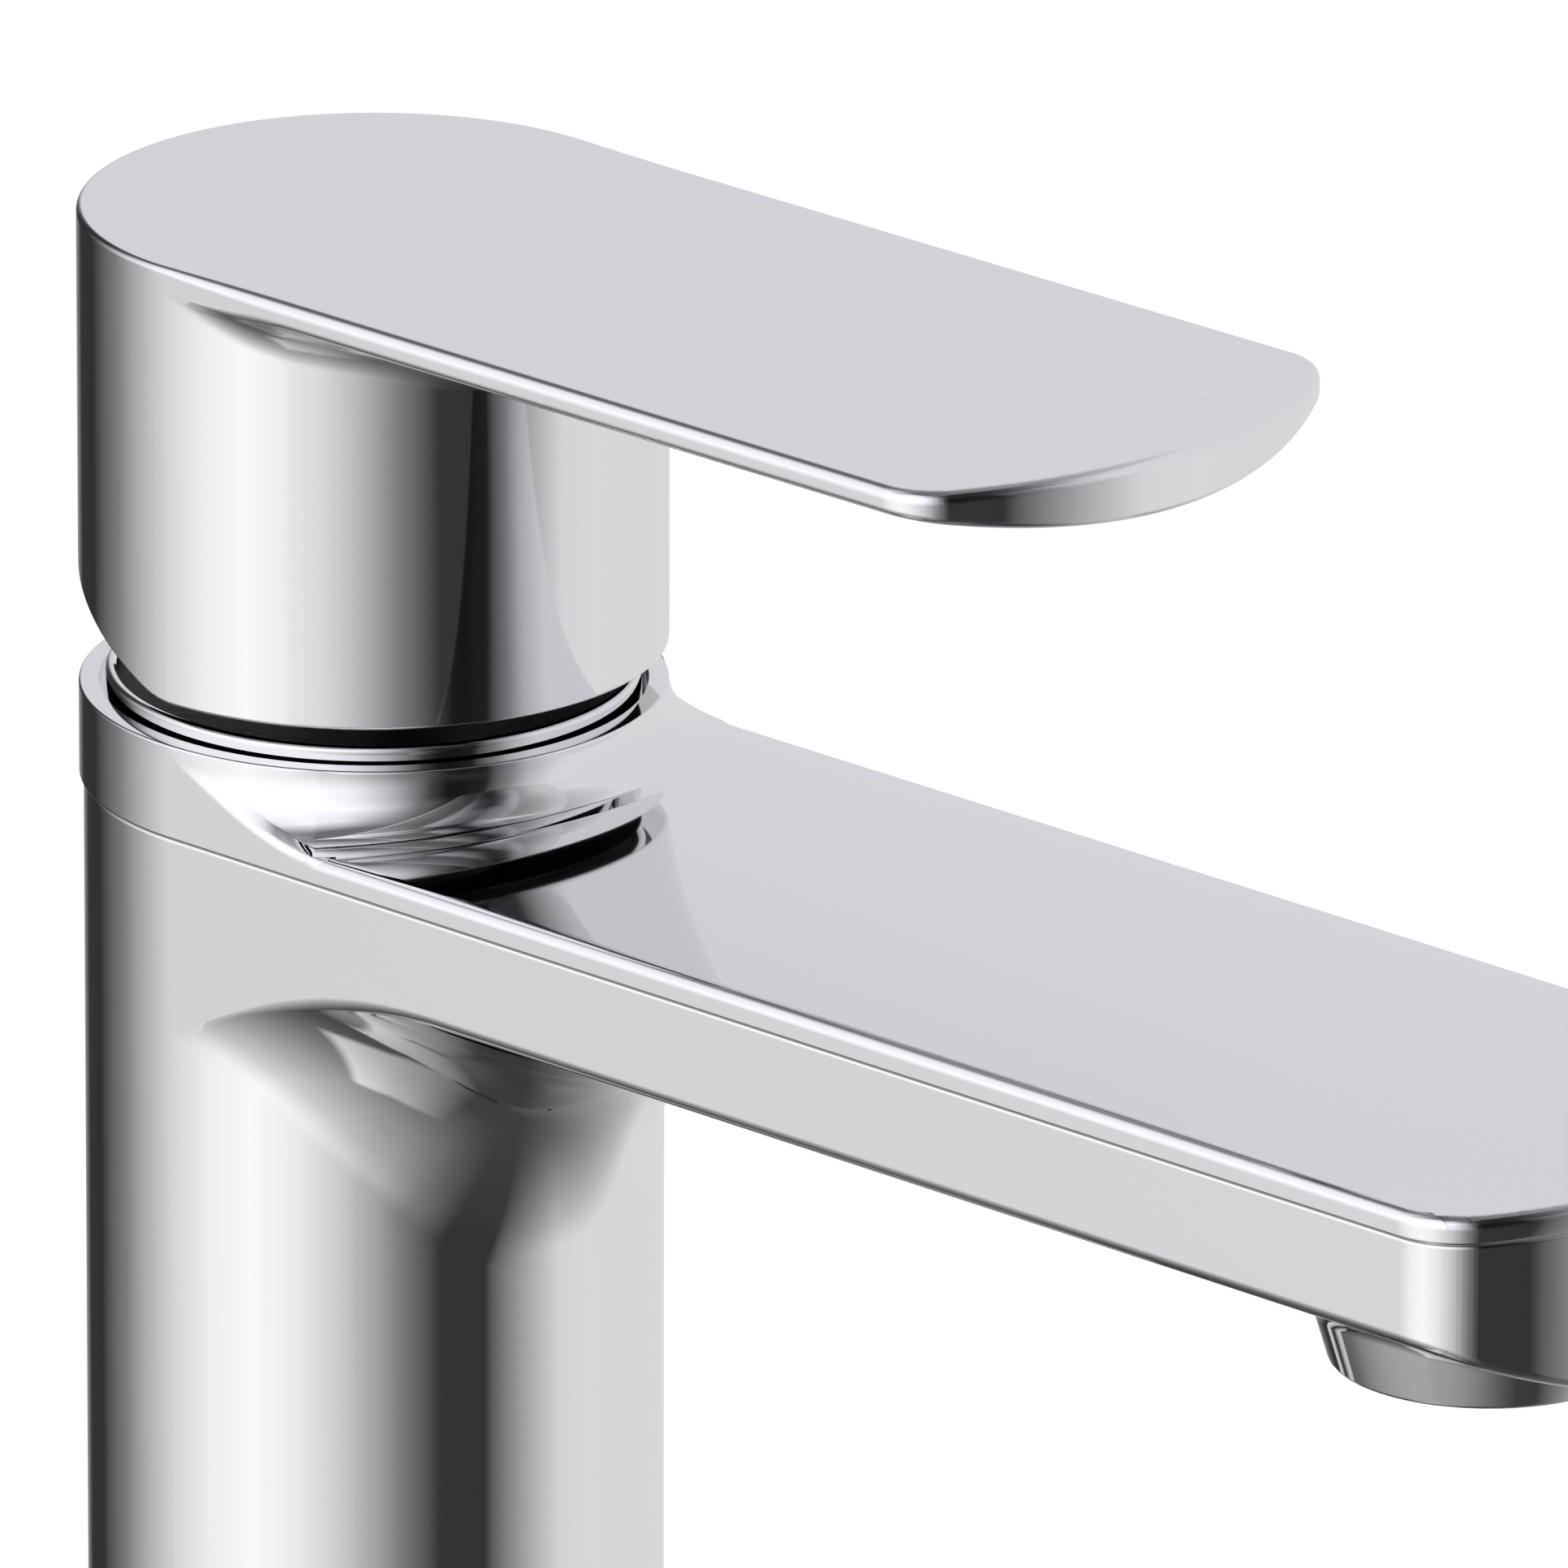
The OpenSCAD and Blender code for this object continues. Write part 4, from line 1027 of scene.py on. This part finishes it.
# The white card on the table, left of the foot, by its place in heights of the object above the table
down = calc(tree, "MAXIMUM", calc(tree, "MULTIPLY", axes.outputs["Z"], -1.0), 0.01)
across = calc(tree, "DIVIDE", axes.outputs["X"], down)
near = calc(tree, "DIVIDE", toward, down)
card = 1.0
for source, start, end, low, high in (
        (across, -0.54, -0.50, 0.0, 1.0), (across, -0.50, -0.12, 1.0, 0.0),
        (near, -0.15, -0.09, 0.0, 1.0), (near, 0.40, 0.44, 1.0, 0.0)):
    card = calc(tree, "MULTIPLY", rescaled(tree, source, start, end, low, high), card)
level = calc(tree, "MULTIPLY_ADD", card, CARD, level)
# Light from above the horizon is a little cooler
cool = rescaled(tree, height, -4.0, 10.0)
cast = add_node(tree, "ShaderNodeMix", {"data_type": "RGBA", "#6": (1.0, 1.0, 1.013, 1),
                                        "#7": (0.98, 0.983, 1.025, 1)}, **{"0": cool})
tint = add_node(tree, "ShaderNodeMix", {"data_type": "RGBA", "blend_type": "MULTIPLY", "#0": 1.0},
                **{"6": level, "7": cast.outputs[2]})
studio_light = add_node(tree, "ShaderNodeBackground", {"Strength": 1.0}, Color=tint.outputs[2])
plain_light = add_node(tree, "ShaderNodeBackground", {"Color": (0.9, 0.92, 0.95, 1), "Strength": 0.85})
white = add_node(tree, "ShaderNodeBackground", {"Color": (1, 1, 1, 1), "Strength": 1.0})
path = add_node(tree, "ShaderNodeLightPath")
mirror = add_node(tree, "ShaderNodeMixShader", None,
                  **{"0": path.outputs["Is Glossy Ray"], "1": plain_light.outputs[0],
                     "2": studio_light.outputs[0]})
seen = add_node(tree, "ShaderNodeMixShader", None,
                **{"0": path.outputs["Is Camera Ray"], "1": mirror.outputs[0], "2": white.outputs[0]})
add_node(tree, "ShaderNodeOutputWorld", None, Surface=seen.outputs[0])

# Floor: white board that keeps the soft shadow and isn't mirrored
bpy.ops.object.select_all(action="DESELECT")
bpy.ops.mesh.primitive_plane_add(size=6, location=(0, 0, FLOOR_Z))
floor = bpy.context.object
floor.name = "floor_board"
board, tree, shader = new_material("painted_board_white")
shader.inputs["Base Color"].default_value = srgb("#f4f4f4")
shader.inputs["Roughness"].default_value = 0.9
# A slight glow that only the camera sees brings the board up to white
path = add_node(tree, "ShaderNodeLightPath")
glow = calc(tree, "MULTIPLY", path.outputs["Is Camera Ray"], 0.22)
lift = add_node(tree, "ShaderNodeEmission", {"Color": (1, 1, 1, 1)}, Strength=glow)
both = add_node(tree, "ShaderNodeAddShader", None,
                **{"0": shader.outputs["BSDF"], "1": lift.outputs[0]})
tree.links.new(both.outputs[0], tree.nodes["Material Output"].inputs["Surface"])
floor.data.materials.append(board)
floor.visible_glossy = False

# One large soft box overhead for the shadow; it isn't mirrored, the studio round it is
lamp_data = bpy.data.lights.new("soft_box", "AREA")
lamp_data.shape, lamp_data.size, lamp_data.energy = "DISK", 1.2, 9.0
lamp = bpy.data.objects.new("soft_box", lamp_data)
bpy.context.collection.objects.link(lamp)
spot = Vector((-0.7, -0.5, 1.5))
lamp.matrix_world = Matrix.Translation(spot) @ spot.to_track_quat("Z", "Y").to_matrix().to_4x4()
lamp.visible_glossy = False

bpy.context.scene.view_settings.view_transform = "Standard"
